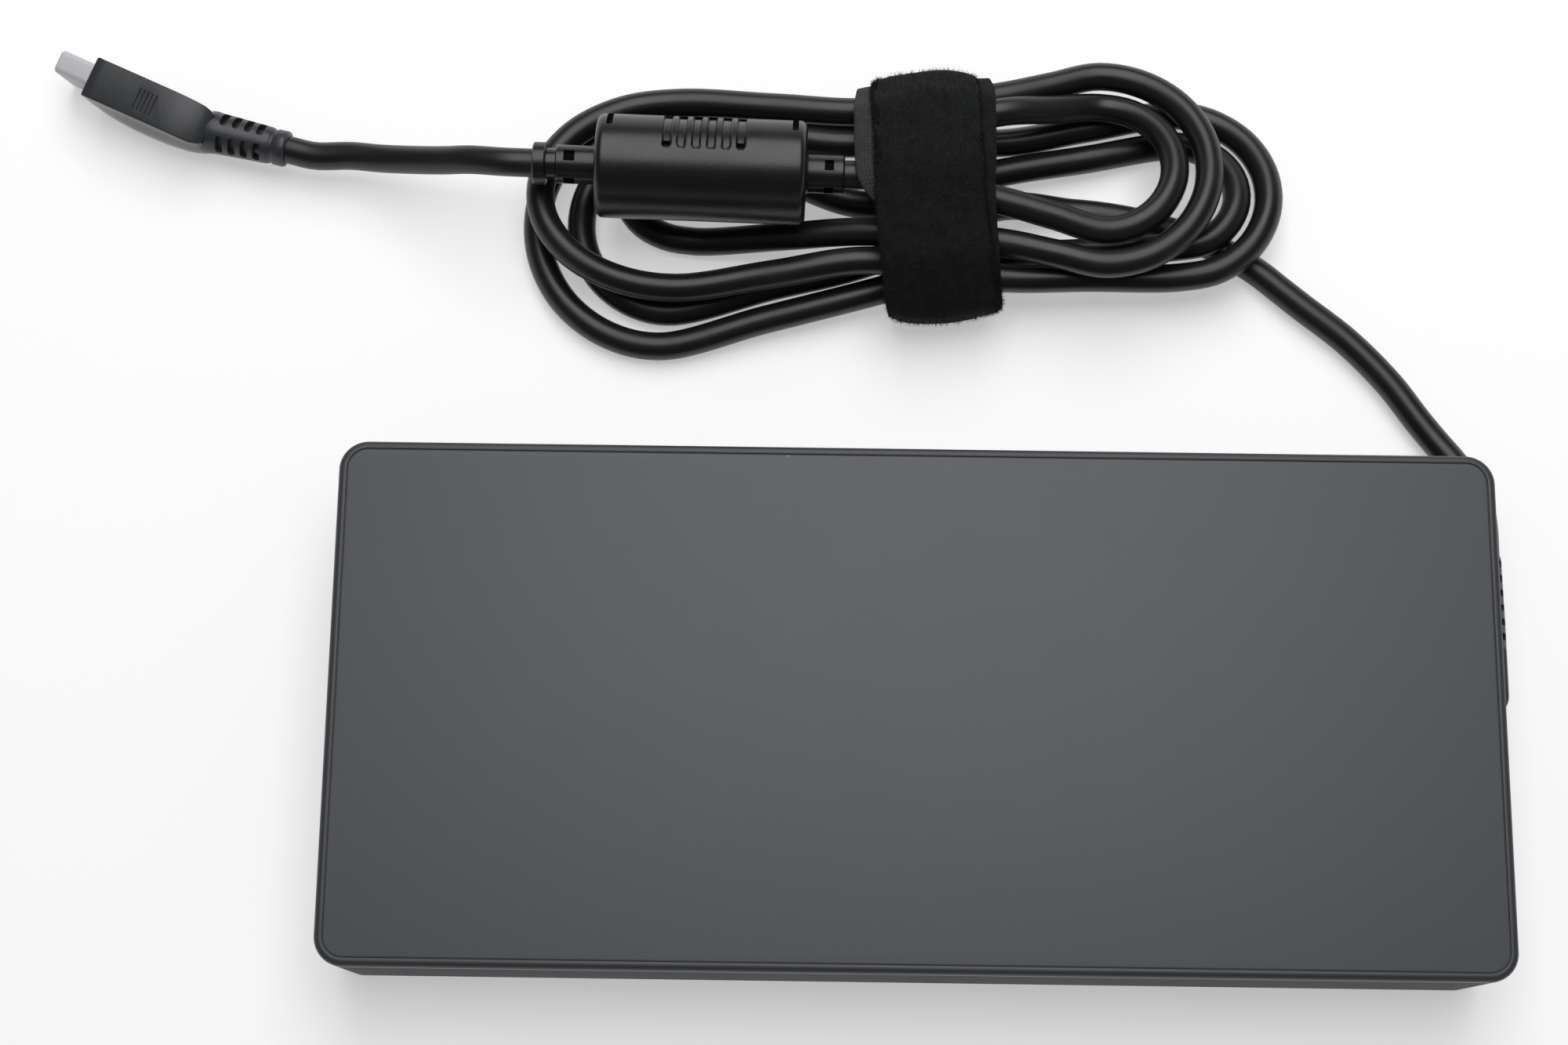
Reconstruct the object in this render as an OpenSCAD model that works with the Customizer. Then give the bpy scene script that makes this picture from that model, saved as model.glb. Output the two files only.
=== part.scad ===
// Laptop power adapter: flat two-part case, mains inlet, switching supply,
// side cord exit and a low-voltage cord tied up as a hank with its choke and plug.
// Origin: centre of the case's underside. +Z up, +X towards the cord exit. Millimetres.

/* [Case] */
// Length of the case
case_length = 200; // [196:1:216]
// Width of the case
case_width = 90; // [88:1:104]
// Radius of the case's upright corners
case_corner = 5; // [4:0.5:7]
// Rounding of the cover's top edge
cover_edge = 1; // [0.5:0.25:1.5]
// Rounding of the tray's bottom edge
tray_edge = 1.5; // [0.5:0.25:2]
// Thickness of the case's side walls
case_wall = 2.2; // [1.8:0.1:3]
// Thickness of the tray's floor
floor_thickness = 2; // [1.5:0.1:3]
// Thickness of the cover's top
lid_thickness = 2; // [1.6:0.1:3]
// Depth of the cover below its top face at the joint line
cover_depth = 3; // [2.8:0.1:5]
// Width and depth of the groove at the joint line
seam = 0.5; // [0.3:0.1:0.8]
// Depth of the cover's tongue inside the tray
tongue_depth = 2.5; // [1.5:0.1:4]
// Thickness of the cover's tongue
tongue_thickness = 1.2; // [0.8:0.1:1.6]
// Plain border around the top panel
panel_border = 1.4; // [1:0.1:2.5]
// Width of the groove around the top panel
panel_groove = 0.5; // [0.3:0.1:1]
// Depth of the groove around the top panel
panel_groove_depth = 0.4; // [0.2:0.1:0.8]
// Diameter of the posts under the circuit board
post_diameter = 5; // [4:0.5:6]
// Clearance between pieces that fit together
fit_gap = 0.15; // [0.1:0.05:0.3]

/* [Stack inside] */
// Thickness of each insulating sheet
sheet_thickness = 0.4; // [0.2:0.1:0.8]
// Thickness of each heat spreader
spreader_thickness = 0.8; // [0.5:0.1:1.5]
// Gap between the lower spreader and the board, filled by pads
under_board_gap = 2; // [1.5:0.1:3.5]
// Thickness of the circuit board
board_thickness = 1.6; // [1:0.1:2.4]
// Height of the tallest parts above the board
part_height = 16; // [15:0.5:22]
// Thickness of the pads between the tallest parts and the upper spreader
pad_thickness = 1; // [0.5:0.1:2]
// Free margin between the board and the case wall
board_margin = 1.3; // [0.8:0.1:2]
// Free margin between the board and the wall with the cord exit
exit_margin = 8; // [7.5:0.5:10]

/* [Mains inlet] */
// Width of the inlet's cavity
inlet_width = 24.4; // [24.2:0.1:25]
// Height of the inlet's cavity
inlet_height = 16.4; // [16.2:0.1:17]
// Depth of the inlet's cavity
inlet_depth = 15.5; // [15:0.5:17]
// Wall around the inlet's cavity
inlet_wall = 1.8; // [1.4:0.1:2.2]
// Thickness of the inlet's back wall
inlet_back = 3; // [2:0.5:4]
// Chamfer of the cavity's two upper corners
inlet_chamfer = 4; // [3:0.5:5]
// Distance between the two outer blades
blade_pitch = 14; // [13.8:0.1:14.2]
// Height of the middle blade above the outer two
blade_rise = 4; // [3.8:0.1:4.2]
// Height of a blade
blade_height = 4; // [3.8:0.1:4.2]
// Thickness of a blade
blade_thickness = 2; // [1.8:0.1:2.2]
// Free length of a blade inside the cavity
blade_length = 13.5; // [12:0.5:14]
// Length of a blade behind the inlet's back wall
blade_tail = 2; // [1.5:0.1:3]
// Diameter of the inlet's wires
mains_wire = 2.6; // [2:0.1:3]
// Length of the wires' run to the board
wire_run = 13; // [12:0.5:14]

/* [Electronics] */
// Gap between parts that stand side by side on the board
part_gap = 0.5; // [0.3:0.1:0.6]
// Gap between the outer parts and the board's edge
edge_gap = 2.5; // [2:0.1:3]
// Diameter of the fuse
fuse_diameter = 5; // [4:0.5:6]
// Length of the fuse
fuse_length = 20; // [18:1:22]
// Diameter of the varistor's disc
varistor_diameter = 14; // [10:1:15]
// Diameter of the inrush thermistor's disc
thermistor_diameter = 13; // [10:1:15]
// Thickness of the varistor and of the thermistor
disc_thickness = 5; // [4:0.5:6]
// Size of the mains filter capacitor along the board
x_capacitor_length = 10; // [8:1:12]
// Size of the mains filter capacitor across the board
x_capacitor_width = 26; // [22:1:28]
// Outer diameter of the line choke's ring
ring_diameter = 20; // [18:1:22]
// Height of the line choke's ring
ring_height = 9; // [7:0.5:10]
// Thickness of the winding around the ring
winding_thickness = 1.5; // [1:0.1:2]
// Diameter of the small safety capacitors
y_capacitor_diameter = 8; // [7:0.5:9]
// Thickness of the small safety capacitors
y_capacitor_thickness = 3.5; // [3:0.5:4]
// Length of the boost choke's and of the transformer's core
core_length = 34; // [30:1:36]
// Width of those cores
core_width = 28; // [26:1:30]
// Thickness of those cores' plates
core_plate = 3.5; // [3:0.1:4]
// Thickness of those cores' outer legs
core_leg = 4; // [3:0.5:5]
// Diameter of those cores' middle leg
core_post = 12; // [10:0.5:13]
// Diameter of the main storage capacitors
bulk_diameter = 16; // [14:0.5:16]
// Length of the main storage capacitors
bulk_length = 42; // [36:1:44]
// Diameter of the output capacitors
output_diameter = 10; // [8:0.5:10]
// Distance between output capacitors
output_pitch = 12; // [11:0.5:13]
// Thickness of the two heatsinks
heatsink_thickness = 3; // [2:0.5:3.5]
// Distance of the mains side's heatsink from the board's left edge
heatsink_start = 28; // [26:1:30]
// Width of the bridge rectifier
bridge_width = 22; // [20:1:23]
// Distance between the power transistors
transistor_pitch = 14.5; // [13:0.5:15]
// Distance between the rectifier transistors
rectifier_pitch = 12; // [11:0.5:13]
// Length of the heatsink on the mains side
primary_heatsink_length = 76; // [72:1:80]
// Length of the heatsink on the output side
secondary_heatsink_length = 40; // [38:1:44]
// Width of a power transistor
transistor_width = 10; // [9:0.5:11]
// Thickness of a power transistor
transistor_thickness = 4.5; // [4:0.1:5]
// Diameter of the transistor screws
screw_diameter = 3; // [2.5:0.1:3.5]
// Diameter of their heads
screw_head = 5.5; // [5:0.1:6]
// Height of their heads
screw_head_height = 2; // [1.6:0.1:2.2]
// Distance of the screws below the transistors' tops
screw_inset = 4; // [3.5:0.1:5]
// Length of the resonant capacitor
resonant_length = 18; // [15:1:18]
// Width of the resonant capacitor
resonant_width = 8; // [7:0.5:9]
// Height of the resonant capacitor
resonant_height = 12; // [10:1:14]
// Length of the control board
control_length = 34; // [30:1:36]
// Height of the control board
control_height = 14; // [12:1:15]
// Width and height of each control chip
chip_width = 5; // [4:0.5:6]
// Thickness of each control chip
chip_thickness = 1.6; // [1:0.1:2]
// Distance between the control chips
chip_pitch = 10; // [8:0.5:11]
// Length of an optocoupler
optocoupler_length = 6.5; // [6:0.1:7]
// Width of an optocoupler
optocoupler_width = 4.6; // [4.4:0.1:4.8]
// Height of an optocoupler
optocoupler_height = 3.6; // [3:0.1:4]
// Diameter of the output choke
output_choke_diameter = 10; // [9:0.5:11]
// Length of the output choke
output_choke_length = 20; // [18:1:22]
// Length of each pad under the board
pad_length = 40; // [36:1:44]
// Width of each pad under the board
pad_width = 50; // [46:1:54]
// Margin around the pads on the two large cores
pad_inset = 3; // [2:0.5:4]
// Diameter of the output wires
output_wire = 2.4; // [2:0.1:2.6]

/* [Cord and choke] */
// Outer diameter of the cord
cord_diameter = 5.2; // [4.8:0.1:5.4]
// Distance of the exit boot's front end from the middle of the case
boot_start = 2.5; // [0:0.5:6]
// Length of the boot's block
boot_block = 12.5; // [10:0.5:14]
// Length of the boot's slotted sleeve
boot_sleeve = 16.5; // [14:0.5:18]
// Diameter of the boot's sleeve
boot_diameter = 6; // [5.8:0.1:7.2]
// Height of the cord exit above the table
boot_height = 6.5; // [6:0.1:8]
// Diameter of the choke's cover
choke_diameter = 18.8; // [17:0.1:19]
// Length of the choke's cover
choke_length = 38; // [36:0.5:40]
// Diameter of the ferrite core in the choke
ferrite_diameter = 14.5; // [13:0.5:15]
// Length of the ferrite core in the choke
ferrite_length = 28.5; // [26:0.5:30]
// Bore of the ferrite core
ferrite_bore = 6.4; // [6:0.1:7]
// Diameter of the choke's necks
neck_diameter = 7; // [6.6:0.1:7.4]
// Length of the neck towards the plug
left_neck = 10; // [8:0.5:12]
// Length of the neck towards the strap
right_neck = 5.3; // [4:0.1:6]
// Length of the ring at each neck's end
neck_ring = 1.6; // [1.2:0.1:2]

/* [Strap] */
// Width of the strap's outer turn along the cord
strap_width = 21; // [20:0.5:22]
// Width of the strap's inner turn along the cord
strap_inner_width = 24; // [23:0.5:25]
// Thickness of one turn of the strap
strap_thickness = 0.9; // [0.7:0.1:0.9]
// How far the strap hangs clear of the cords on its near side, beyond its slack
strap_loose = 1; // [0:0.1:1.5]

/* [Plug] */
// Length of the plug's body
plug_length = 24; // [20:0.5:26]
// Width of the plug's body
plug_width = 7; // [6.5:0.1:8]
// Height of the plug's body as it lies
plug_height = 12; // [11.6:0.1:12.4]
// Length of the plug's slotted strain relief
relief_length = 14.5; // [14:0.5:17]
// Diameter of the strain relief at the body
relief_root = 8; // [7.4:0.1:8.4]
// Diameter of the strain relief at the cord
relief_tip = 6.6; // [6.2:0.1:7]
// Thickness of the plug's metal tip
tip_thickness = 4.4; // [4.2:0.1:4.6]
// Width of the plug's metal tip
tip_width = 11; // [10.8:0.1:11.2]
// Free length of the plug's metal tip
tip_length = 7; // [6:0.5:9]
// Wall of the plug's metal tip
tip_wall = 0.4; // [0.3:0.05:0.5]
// Diameter of the plug's centre pin
pin_diameter = 0.9; // [0.7:0.1:1.2]

/* [Hidden] */
$fn = 48;
small_fn = 24;

// Heights of the stack, from the table up
floor_top = floor_thickness;
lower_spreader_z = floor_top + sheet_thickness;
lower_spreader_top = lower_spreader_z + spreader_thickness;
board_z = lower_spreader_top + under_board_gap;
board_top = board_z + board_thickness;
parts_top = board_top + part_height;
upper_spreader_z = parts_top + pad_thickness;
upper_sheet_z = upper_spreader_z + spreader_thickness;
lid_z = upper_sheet_z + sheet_thickness;
case_height = lid_z + lid_thickness;
joint_z = case_height - cover_depth;

// Case edges and the board inside them
left_end = -case_length / 2;
right_end = case_length / 2;
inner_corner = case_corner - case_wall;
inlet_total = inlet_depth + inlet_back;
board_left = left_end + inlet_total + blade_tail + 3 * part_gap;
board_right = right_end - case_wall - exit_margin;
board_half = case_width / 2 - case_wall - board_margin;
board_length = board_right - board_left;
board_middle = (board_left + board_right) / 2;
post_inset = post_diameter;
post_pitch = (board_length - 2 * post_inset) / 2;
sheet_half = board_half - post_diameter - edge_gap;
sheet_length = board_length - 3 * edge_gap;

// Inlet position
inlet_z = floor_top + part_gap + inlet_height / 2 + inlet_wall;
inlet_outer_width = inlet_width + 2 * inlet_wall;
inlet_outer_height = inlet_height + 2 * inlet_wall;
blade_low_z = inlet_z - blade_rise / 2;

// Mains parts, in order from the board's left edge
wires_left = left_end + inlet_total + blade_tail;
wires_end = wires_left + wire_run;
first_row = board_left + edge_gap + disc_thickness / 2;
ring_outer = ring_diameter + 2 * winding_thickness;
fuse_at = [board_left + edge_gap + fuse_diameter / 2, -board_half + 3 * edge_gap + fuse_length / 2];
varistor_at = [first_row, (blade_pitch + mains_wire + varistor_diameter) / 2 + part_gap];
thermistor_at = [first_row, board_half - part_gap - thermistor_diameter / 2];
y_capacitor_at = [
    first_row + disc_thickness / 2 + edge_gap + y_capacitor_diameter / 2,
    board_half - 3 * edge_gap
];
y_capacitor_pitch = y_capacitor_diameter + 2 * part_gap;
line_choke_at = [
    wires_end + 4 * part_gap + ring_outer / 2,
    y_capacitor_at[1] - y_capacitor_thickness / 2 - 4 * part_gap - ring_outer / 2
];
x_capacitor_at = [
    wires_end + part_gap + x_capacitor_length / 2,
    line_choke_at[1] - ring_outer / 2 - 4 * part_gap - x_capacitor_width / 2
];
filter_end = line_choke_at[0] + ring_outer / 2;

// The heatsink along the near edge, with the bridge and the transistors on it
transistor_height = part_height - 1;
primary_heatsink_at = [
    board_left + heatsink_start + primary_heatsink_length / 2,
    -board_half + edge_gap + heatsink_thickness / 2
];
heatsink_face = primary_heatsink_at[1] + heatsink_thickness / 2;
bridge_left = board_left + heatsink_start + 2 * part_gap;
first_transistor = bridge_left + bridge_width + transistor_pitch * 2 / 3;
screw_height = board_top + transistor_height - screw_inset;

// Boost choke and storage capacitors, behind the line filter
core_y = heatsink_face + transistor_thickness + screw_head_height + part_gap + core_width / 2;
boost_choke_at = [filter_end + part_gap + core_length / 2, core_y];
bulk_at = [
    filter_end + 3 * part_gap + bulk_length / 2,
    board_half - 2 * part_gap - bulk_diameter / 2
];

// Output parts, in order from the board's right edge
output_at = [
    board_right - edge_gap - output_diameter / 2 - output_pitch,
    -board_half + edge_gap + output_diameter / 2
];
secondary_heatsink_at = [
    output_at[0] - output_diameter / 2 - 4 * part_gap - screw_head_height
        - transistor_thickness - heatsink_thickness / 2,
    -board_half + 4 * edge_gap + secondary_heatsink_length / 2
];
secondary_face = secondary_heatsink_at[0] + heatsink_thickness / 2;
transformer_at = [
    secondary_face - heatsink_thickness - 2 * edge_gap - core_length / 2, core_y
];
resonant_at = [
    transformer_at[0] + (core_length - resonant_length) / 2,
    core_y + core_width / 2 + 3 * part_gap + resonant_width / 2
];
control_at = [
    secondary_face - control_length / 2,
    board_half - edge_gap - board_thickness
];
optocoupler_at = [transformer_at[0], control_at[1] - 5 * edge_gap - optocoupler_length / 2];
output_choke_at = [
    secondary_face + output_choke_length / 2,
    board_half - 3 * edge_gap - output_choke_diameter / 2
];

// Cord exit on the right-hand wall
cord_radius = cord_diameter / 2;
boot_x = right_end + boot_diameter / 2 + 0.05;
boot_block_end = boot_start + boot_block;
boot_tip = [boot_x, boot_block_end + boot_sleeve, boot_height];
stem_diameter = 6;
stem_y = boot_start + boot_block / 2;
slot_pitch = 2.7;

// Choke: centre of its cover, its height and the small turn that it lies at
choke_at = [-38.7, 99.1, 18];
choke_turn = -1.5;
choke_along = [cos(choke_turn), sin(choke_turn), 0];
choke_right = choke_at + choke_along * (choke_length / 2 + right_neck + neck_ring);
choke_left = choke_at - choke_along * (choke_length / 2 + left_neck + neck_ring);

// Plug: the tip end of its body, how it lies on its lower edge and its strain relief's bend
plug_edge = 0.6;
plug_lean = 9;
plug_at = [
    -152.4, 119.4,
    (plug_height / 2 - plug_edge) * cos(plug_lean)
        + (plug_width / 2 - plug_edge) * sin(plug_lean) + plug_edge
];
plug_turn = -24;
relief_turn = 11;
relief_sink = 0.7;
relief_start = plug_at + plug_length * [cos(plug_turn), sin(plug_turn), 0];
relief_along = [cos(plug_turn + relief_turn), sin(plug_turn + relief_turn), 0];
relief_end = relief_start + relief_length * relief_along;

// Route of the cord from the boot to the hank
lead_points = [
    [102.9, 40.5, 5.6], [101.6, 45.5, 4.2], [99, 50, 3.2], [96, 54, 2.7], [93, 58, 2.6],
    [88, 65, 2.6], [80.5, 73, 2.6], [72.6, 79.4, 2.6]
];
// Where the hank starts, and the way the cord runs in under its right-hand loops
hank_entry = [68.6, 82.7, 2.6];
run_in = [[64.6, 86, 2.6], [58.5, 89.9, 2.6], [50.5, 93.3, 2.6], [41, 96, 2.6], [30, 97.4, 2.6]];
// Route of the cord from the choke to the plug
tail_points = [
    [-81, 101, 16.4], [-86.5, 101.8, 13.8], [-92.5, 102.9, 11], [-98.5, 104, 8.6],
    [-104.5, 105, 7.2]
];

// The hank: four turns in two layers, drawn in where the strap holds them.
// Each row gives the loops of one layer at one end: the furthest reach of the first and the step
// to the next, the near side and its step, the far side and its step, the height and its step,
// the rise round the bend and its step, and the stretch along the hank.
layer_rise = 6.6;
right_lower = [60.2, 5.9, 88.9, -6, 110.9, 6.2, 0, 0, 6, 0, 1];
right_upper = [54.2, -6.4, 83.1, 6.4, 121.9, -6.2, layer_rise, 0, 6, 0, 1];
left_lower = [61.5, 8.2, 76.9, -6.7, 110.8, 6.2, 0, 0, 0, 0, 1];
left_upper = [68.8, -15.6, 79.4, 11.3, 115.6, -6.1, layer_rise, -layer_rise, 0, layer_rise, 1.4];
turns = 4;
turns_per_layer = 2;
bend_rings = 8;
right_rise = [0, 130];
left_rise = [40, 170];
// The waist under the strap, and each pass through it: side and height at its right and left edge
strap_middle = 4;
waist_right = strap_middle + strap_inner_width / 2;
waist_left = strap_middle - strap_inner_width / 2;
low = 4.9;
high = 10.8;
passes = [
    [97.4, low, 86.2, low], [104.1, low, 97.5, low], [87.4, low, 80.2, low],
    [110.1, low, 112.2, low], [81.8, high - 0.6, 84.55, high + 0.2], [117, high, 113.6, high],
    [87.1, high + 3.7, 90.25, high - 0.15], [112.2, high + 4.2, 107.5, high],
    [94.5, 16.2, 98.3, 18]
];
last_bend = [-2, 97.9, 17.7];

function ease(t) = t * t * (3 - 2 * t);
function mix(a, b, t) = a + (b - a) * t;
function unit(v) = v / norm(v);

// One end loop of a turn: rings around its bend, from its first side to its second
function bend(side, turn) =
    let (
        row = side > 0
            ? (turn < turns_per_layer ? right_lower : right_upper)
            : (turn < turns_per_layer ? left_lower : left_upper),
        k = turn % turns_per_layer,
        near = row[2] + k * row[3],
        far = row[4] + k * row[5],
        radius = (far - near) / 2,
        centre = side * (row[0] + k * row[1] - row[10] * radius),
        rise = side > 0 ? right_rise : left_rise
    )
    [for (i = [0:bend_rings - 1])
        let (
            a = 180 * i / (bend_rings - 1),
            risen = ease(min(max((a - rise[0]) / (rise[1] - rise[0]), 0), 1))
        )
        [
            centre + side * row[10] * radius * sin(a),
            (near + far) / 2 + side * radius * cos(a),
            cord_radius + row[6] + k * row[7] + (row[8] + k * row[9]) * risen
        ]
    ];

// The point halfway along a run, on a line that eases from the bend into the waist
function halfway(from, to) = [
    (from[0] + to[0]) / 2, mix(from[1], to[1], ease(0.5)), mix(from[2], to[2], ease(0.5))
];
function at_right(pass) = [waist_right, passes[pass][0], passes[pass][1]];
function at_left(pass) = [waist_left, passes[pass][2], passes[pass][3]];

// One turn: in through the waist, round the left loop, back, and round the right loop
function turn_points(turn) =
    let (left = bend(-1, turn), right = bend(1, turn), end = bend_rings - 1)
    concat(
        turn > 0 ? [halfway(bend(1, turn - 1)[end], at_right(2 * turn))] : [],
        [at_right(2 * turn), at_left(2 * turn), halfway(left[0], at_left(2 * turn))],
        left,
        [halfway(left[end], at_left(2 * turn + 1)), at_left(2 * turn + 1)],
        [at_right(2 * turn + 1), halfway(right[0], at_right(2 * turn + 1))],
        right
    );
hank_points = concat(
    [hank_entry], run_in,
    [for (turn = [0:turns - 1]) each turn_points(turn)],
    [halfway(bend(1, turns - 1)[bend_rings - 1], at_right(2 * turns)), at_right(2 * turns)],
    [last_bend, choke_right + cord_diameter * choke_along, choke_right]
);

// Least gap between two stretches of the hank that aren't neighbours
function to_segment(p, a, b) =
    let (ab = b - a, t = min(max((p - a) * ab / (ab * ab), 0), 1)) norm(p - a - t * ab);
neighbour_rings = 4;
function least_gap(points) =
    let (last = len(points) - 1)
    min([for (i = [0:last - 1], j = [0:last - 1]) if (abs(i - j) > neighbour_rings)
        min(to_segment(points[i], points[j], points[j + 1]),
            to_segment((points[i] + points[i + 1]) / 2, points[j], points[j + 1]))
    ]) - cord_diameter;
function length_of(points) =
    len(points) < 2 ? 0 : [for (i = 0, s = 0; i < len(points);
        s = s + (i < len(points) - 1 ? norm(points[i + 1] - points[i]) : 0), i = i + 1) s
    ][len(points) - 1];

lead_route = concat([boot_tip, boot_tip + [0, cord_diameter, 0]], lead_points, [hank_entry]);
tail_route = concat(
    [choke_left, choke_left - cord_diameter * choke_along], tail_points,
    [relief_end + cord_diameter * relief_along, relief_end]
);

// ---- shared shapes ----

// A tube of flat facets along a route, one ring at each point
module tube(route, radius, sides) {
    last = len(route) - 1;
    rings = [for (i = [0:last])
        let (
            along = unit(route[min(i + 1, last)] - route[max(i - 1, 0)]),
            across = unit(cross(along, [0, 0, 1])),
            up = cross(across, along)
        )
        for (j = [0:sides - 1])
            let (a = 90 + 360 * j / sides)
            route[i] + radius * (cos(a) * across + sin(a) * up)
    ];
    walls = [for (i = [0:last - 1], j = [0:sides - 1])
        let (a = i * sides + j, b = i * sides + (j + 1) % sides)
        each [[a, b, b + sides], [a, b + sides, a + sides]]
    ];
    caps = [for (j = [1:sides - 2])
        each [[0, j + 1, j], [last * sides, last * sides + j, last * sides + j + 1]]
    ];
    polyhedron(points = rings, faces = concat(walls, caps));
}

module rounded_rectangle(length, width, radius) {
    square([length - 2 * radius, width], center = true);
    square([length, width - 2 * radius], center = true);
    for (x = [-1, 1], y = [-1, 1])
        translate([x * (length / 2 - radius), y * (width / 2 - radius)]) circle(radius);
}

// Half outline of a block with a rounded lower and a rounded upper edge
edge_steps = 3;
function block_profile(half, height, lower, upper) = concat(
    [[0, 0]],
    [for (i = [0:edge_steps]) let (a = 90 * i / edge_steps)
        [half - lower + lower * sin(a), lower - lower * cos(a)]],
    [for (i = [0:edge_steps]) let (a = 90 * i / edge_steps)
        [half - upper + upper * cos(a), height - upper + upper * sin(a)]],
    [[0, height]]
);
function both_sides(profile) = concat(
    [for (i = [1:len(profile) - 2]) profile[i]],
    [for (i = [len(profile) - 2:-1:1]) [-profile[i][0], profile[i][1]]]
);
module rounded_block(length, width, height, corner, lower, upper) {
    rotate([90, 0, 90])
        linear_extrude(length - 2 * corner, center = true)
            polygon(both_sides(block_profile(width / 2, height, lower, upper)));
    rotate([90, 0, 0])
        linear_extrude(width - 2 * corner, center = true)
            polygon(both_sides(block_profile(length / 2, height, lower, upper)));
    for (x = [-1, 1], y = [-1, 1])
        translate([x * (length / 2 - corner), y * (width / 2 - corner), 0])
            rotate_extrude() polygon(block_profile(corner, height, lower, upper));
}

module plate(length, width, thickness, radius = 1) {
    linear_extrude(thickness) rounded_rectangle(length, width, radius);
}
module box_on(at, size, z) {
    translate([at[0] - size[0] / 2, at[1] - size[1] / 2, z]) cube(size);
}
module disc_on(at, diameter, thickness, z) {
    translate([at[0] - thickness / 2, at[1], z + diameter / 2])
        rotate([0, 90, 0]) cylinder(d = diameter, h = thickness);
}

// ---- case ----

module top_cover() {
    tongue_length = case_length - 2 * case_wall - 2 * fit_gap;
    tongue_width = case_width - 2 * case_wall - 2 * fit_gap;
    inlet_free = inlet_outer_width + 2;
    color("#5b5d61") difference() {
        union() {
            translate([0, 0, joint_z])
                rounded_block(case_length, case_width, cover_depth, case_corner, 0.05, cover_edge);
            translate([0, 0, joint_z - tongue_depth])
                plate(tongue_length, tongue_width, tongue_depth + 0.5, inner_corner);
        }
        translate([0, 0, joint_z - tongue_depth - 1])
            plate(tongue_length - 2 * tongue_thickness, tongue_width - 2 * tongue_thickness,
                lid_z - joint_z + tongue_depth + 1, inner_corner - tongue_thickness / 2);
        translate([0, 0, case_height - panel_groove_depth]) linear_extrude(1) difference() {
            rounded_rectangle(case_length - 2 * panel_border, case_width - 2 * panel_border,
                case_corner - panel_border);
            rounded_rectangle(case_length - 2 * (panel_border + panel_groove),
                case_width - 2 * (panel_border + panel_groove),
                case_corner - panel_border - panel_groove);
        }
        translate([left_end, -inlet_free / 2, joint_z - tongue_depth - 1])
            cube([inlet_total + 1, inlet_free, tongue_depth + 1]);
    }
}

module bottom_tray() {
    color("#4b4d51") {
        difference() {
            rounded_block(case_length, case_width, joint_z, case_corner, tray_edge, 0.05);
            translate([0, 0, floor_top])
                plate(case_length - 2 * case_wall, case_width - 2 * case_wall, case_height,
                    inner_corner);
            translate([0, 0, joint_z - seam]) linear_extrude(case_height) difference() {
                square([case_length + 2, case_width + 2], center = true);
                rounded_rectangle(case_length - 2 * seam, case_width - 2 * seam,
                    case_corner - seam);
            }
            translate([left_end - 1, -inlet_outer_width / 2 - fit_gap,
                    inlet_z - inlet_outer_height / 2 - fit_gap])
                cube([case_wall + 2, inlet_outer_width + 2 * fit_gap,
                    inlet_outer_height + 2 * fit_gap]);
            translate([right_end - case_wall - 1, stem_y, boot_height])
                rotate([0, 90, 0]) cylinder(d = stem_diameter + 2 * fit_gap, h = case_wall + 2);
        }
        for (i = [0:2], y = [-1, 1])
            translate([board_left + post_inset + i * post_pitch,
                    y * (board_half - post_diameter / 2 - 0.5), floor_top])
                cylinder(d = post_diameter, h = board_z - floor_top);
        for (y = [-1, 1])
            translate([left_end + case_wall + 5, y * (inlet_outer_width / 2 - 3), floor_top])
                translate([0, -1.5, 0])
                    cube([inlet_total - case_wall - 8, 3,
                        inlet_z - inlet_outer_height / 2 - floor_top]);
    }
}

// ---- mains inlet ----

module cavity_outline() {
    w = inlet_width / 2;
    h = inlet_height / 2;
    c = inlet_chamfer;
    polygon([[-w, -h], [w, -h], [w, h - c], [w - c, h], [-w + c, h], [-w, h - c]]);
}

module blade(y, z) {
    translate([left_end + inlet_depth - blade_length, y - blade_thickness / 2,
            z - blade_height / 2])
        cube([blade_length + inlet_back + blade_tail, blade_thickness, blade_height]);
}
module each_blade() {
    for (y = [-1, 1])
        translate([0, y * blade_pitch / 2, blade_low_z]) children();
    translate([0, 0, blade_low_z + blade_rise]) children();
}

module inlet_housing() {
    color("#242527") difference() {
        translate([left_end, -inlet_outer_width / 2, inlet_z - inlet_outer_height / 2])
            cube([inlet_total, inlet_outer_width, inlet_outer_height]);
        translate([left_end - 1, 0, inlet_z])
            rotate([90, 0, 90]) linear_extrude(inlet_depth + 1) cavity_outline();
        each_blade()
            translate([left_end + inlet_depth - 1, -blade_thickness / 2, -blade_height / 2])
                cube([inlet_back + 2, blade_thickness, blade_height]);
    }
}

module inlet_blades() {
    color("#c9c6bd") each_blade() blade(0, 0);
}

module inlet_wires() {
    wire_z = board_top + mains_wire / 2;
    color("#8a5a3c") for (wire = [[-blade_pitch / 2, 0], [0, blade_rise], [blade_pitch / 2, 0]]) {
        y = wire[0];
        z = blade_low_z + wire[1];
        tube([
            [wires_left, y, z], [wires_left + 2, y, z], [wires_left + 5, y, (z + wire_z) / 2 + 1],
            [wires_left + 7, y, wire_z + 0.4], [wires_left + 10, y, wire_z],
            [wires_end, y, wire_z]
        ], mains_wire / 2, 8);
    }
}

// ---- board and its parts ----

module circuit_board() {
    color("#2f6b3c") translate([board_middle, 0, board_z])
        plate(board_length, 2 * board_half, board_thickness, 1.5);
}

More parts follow.
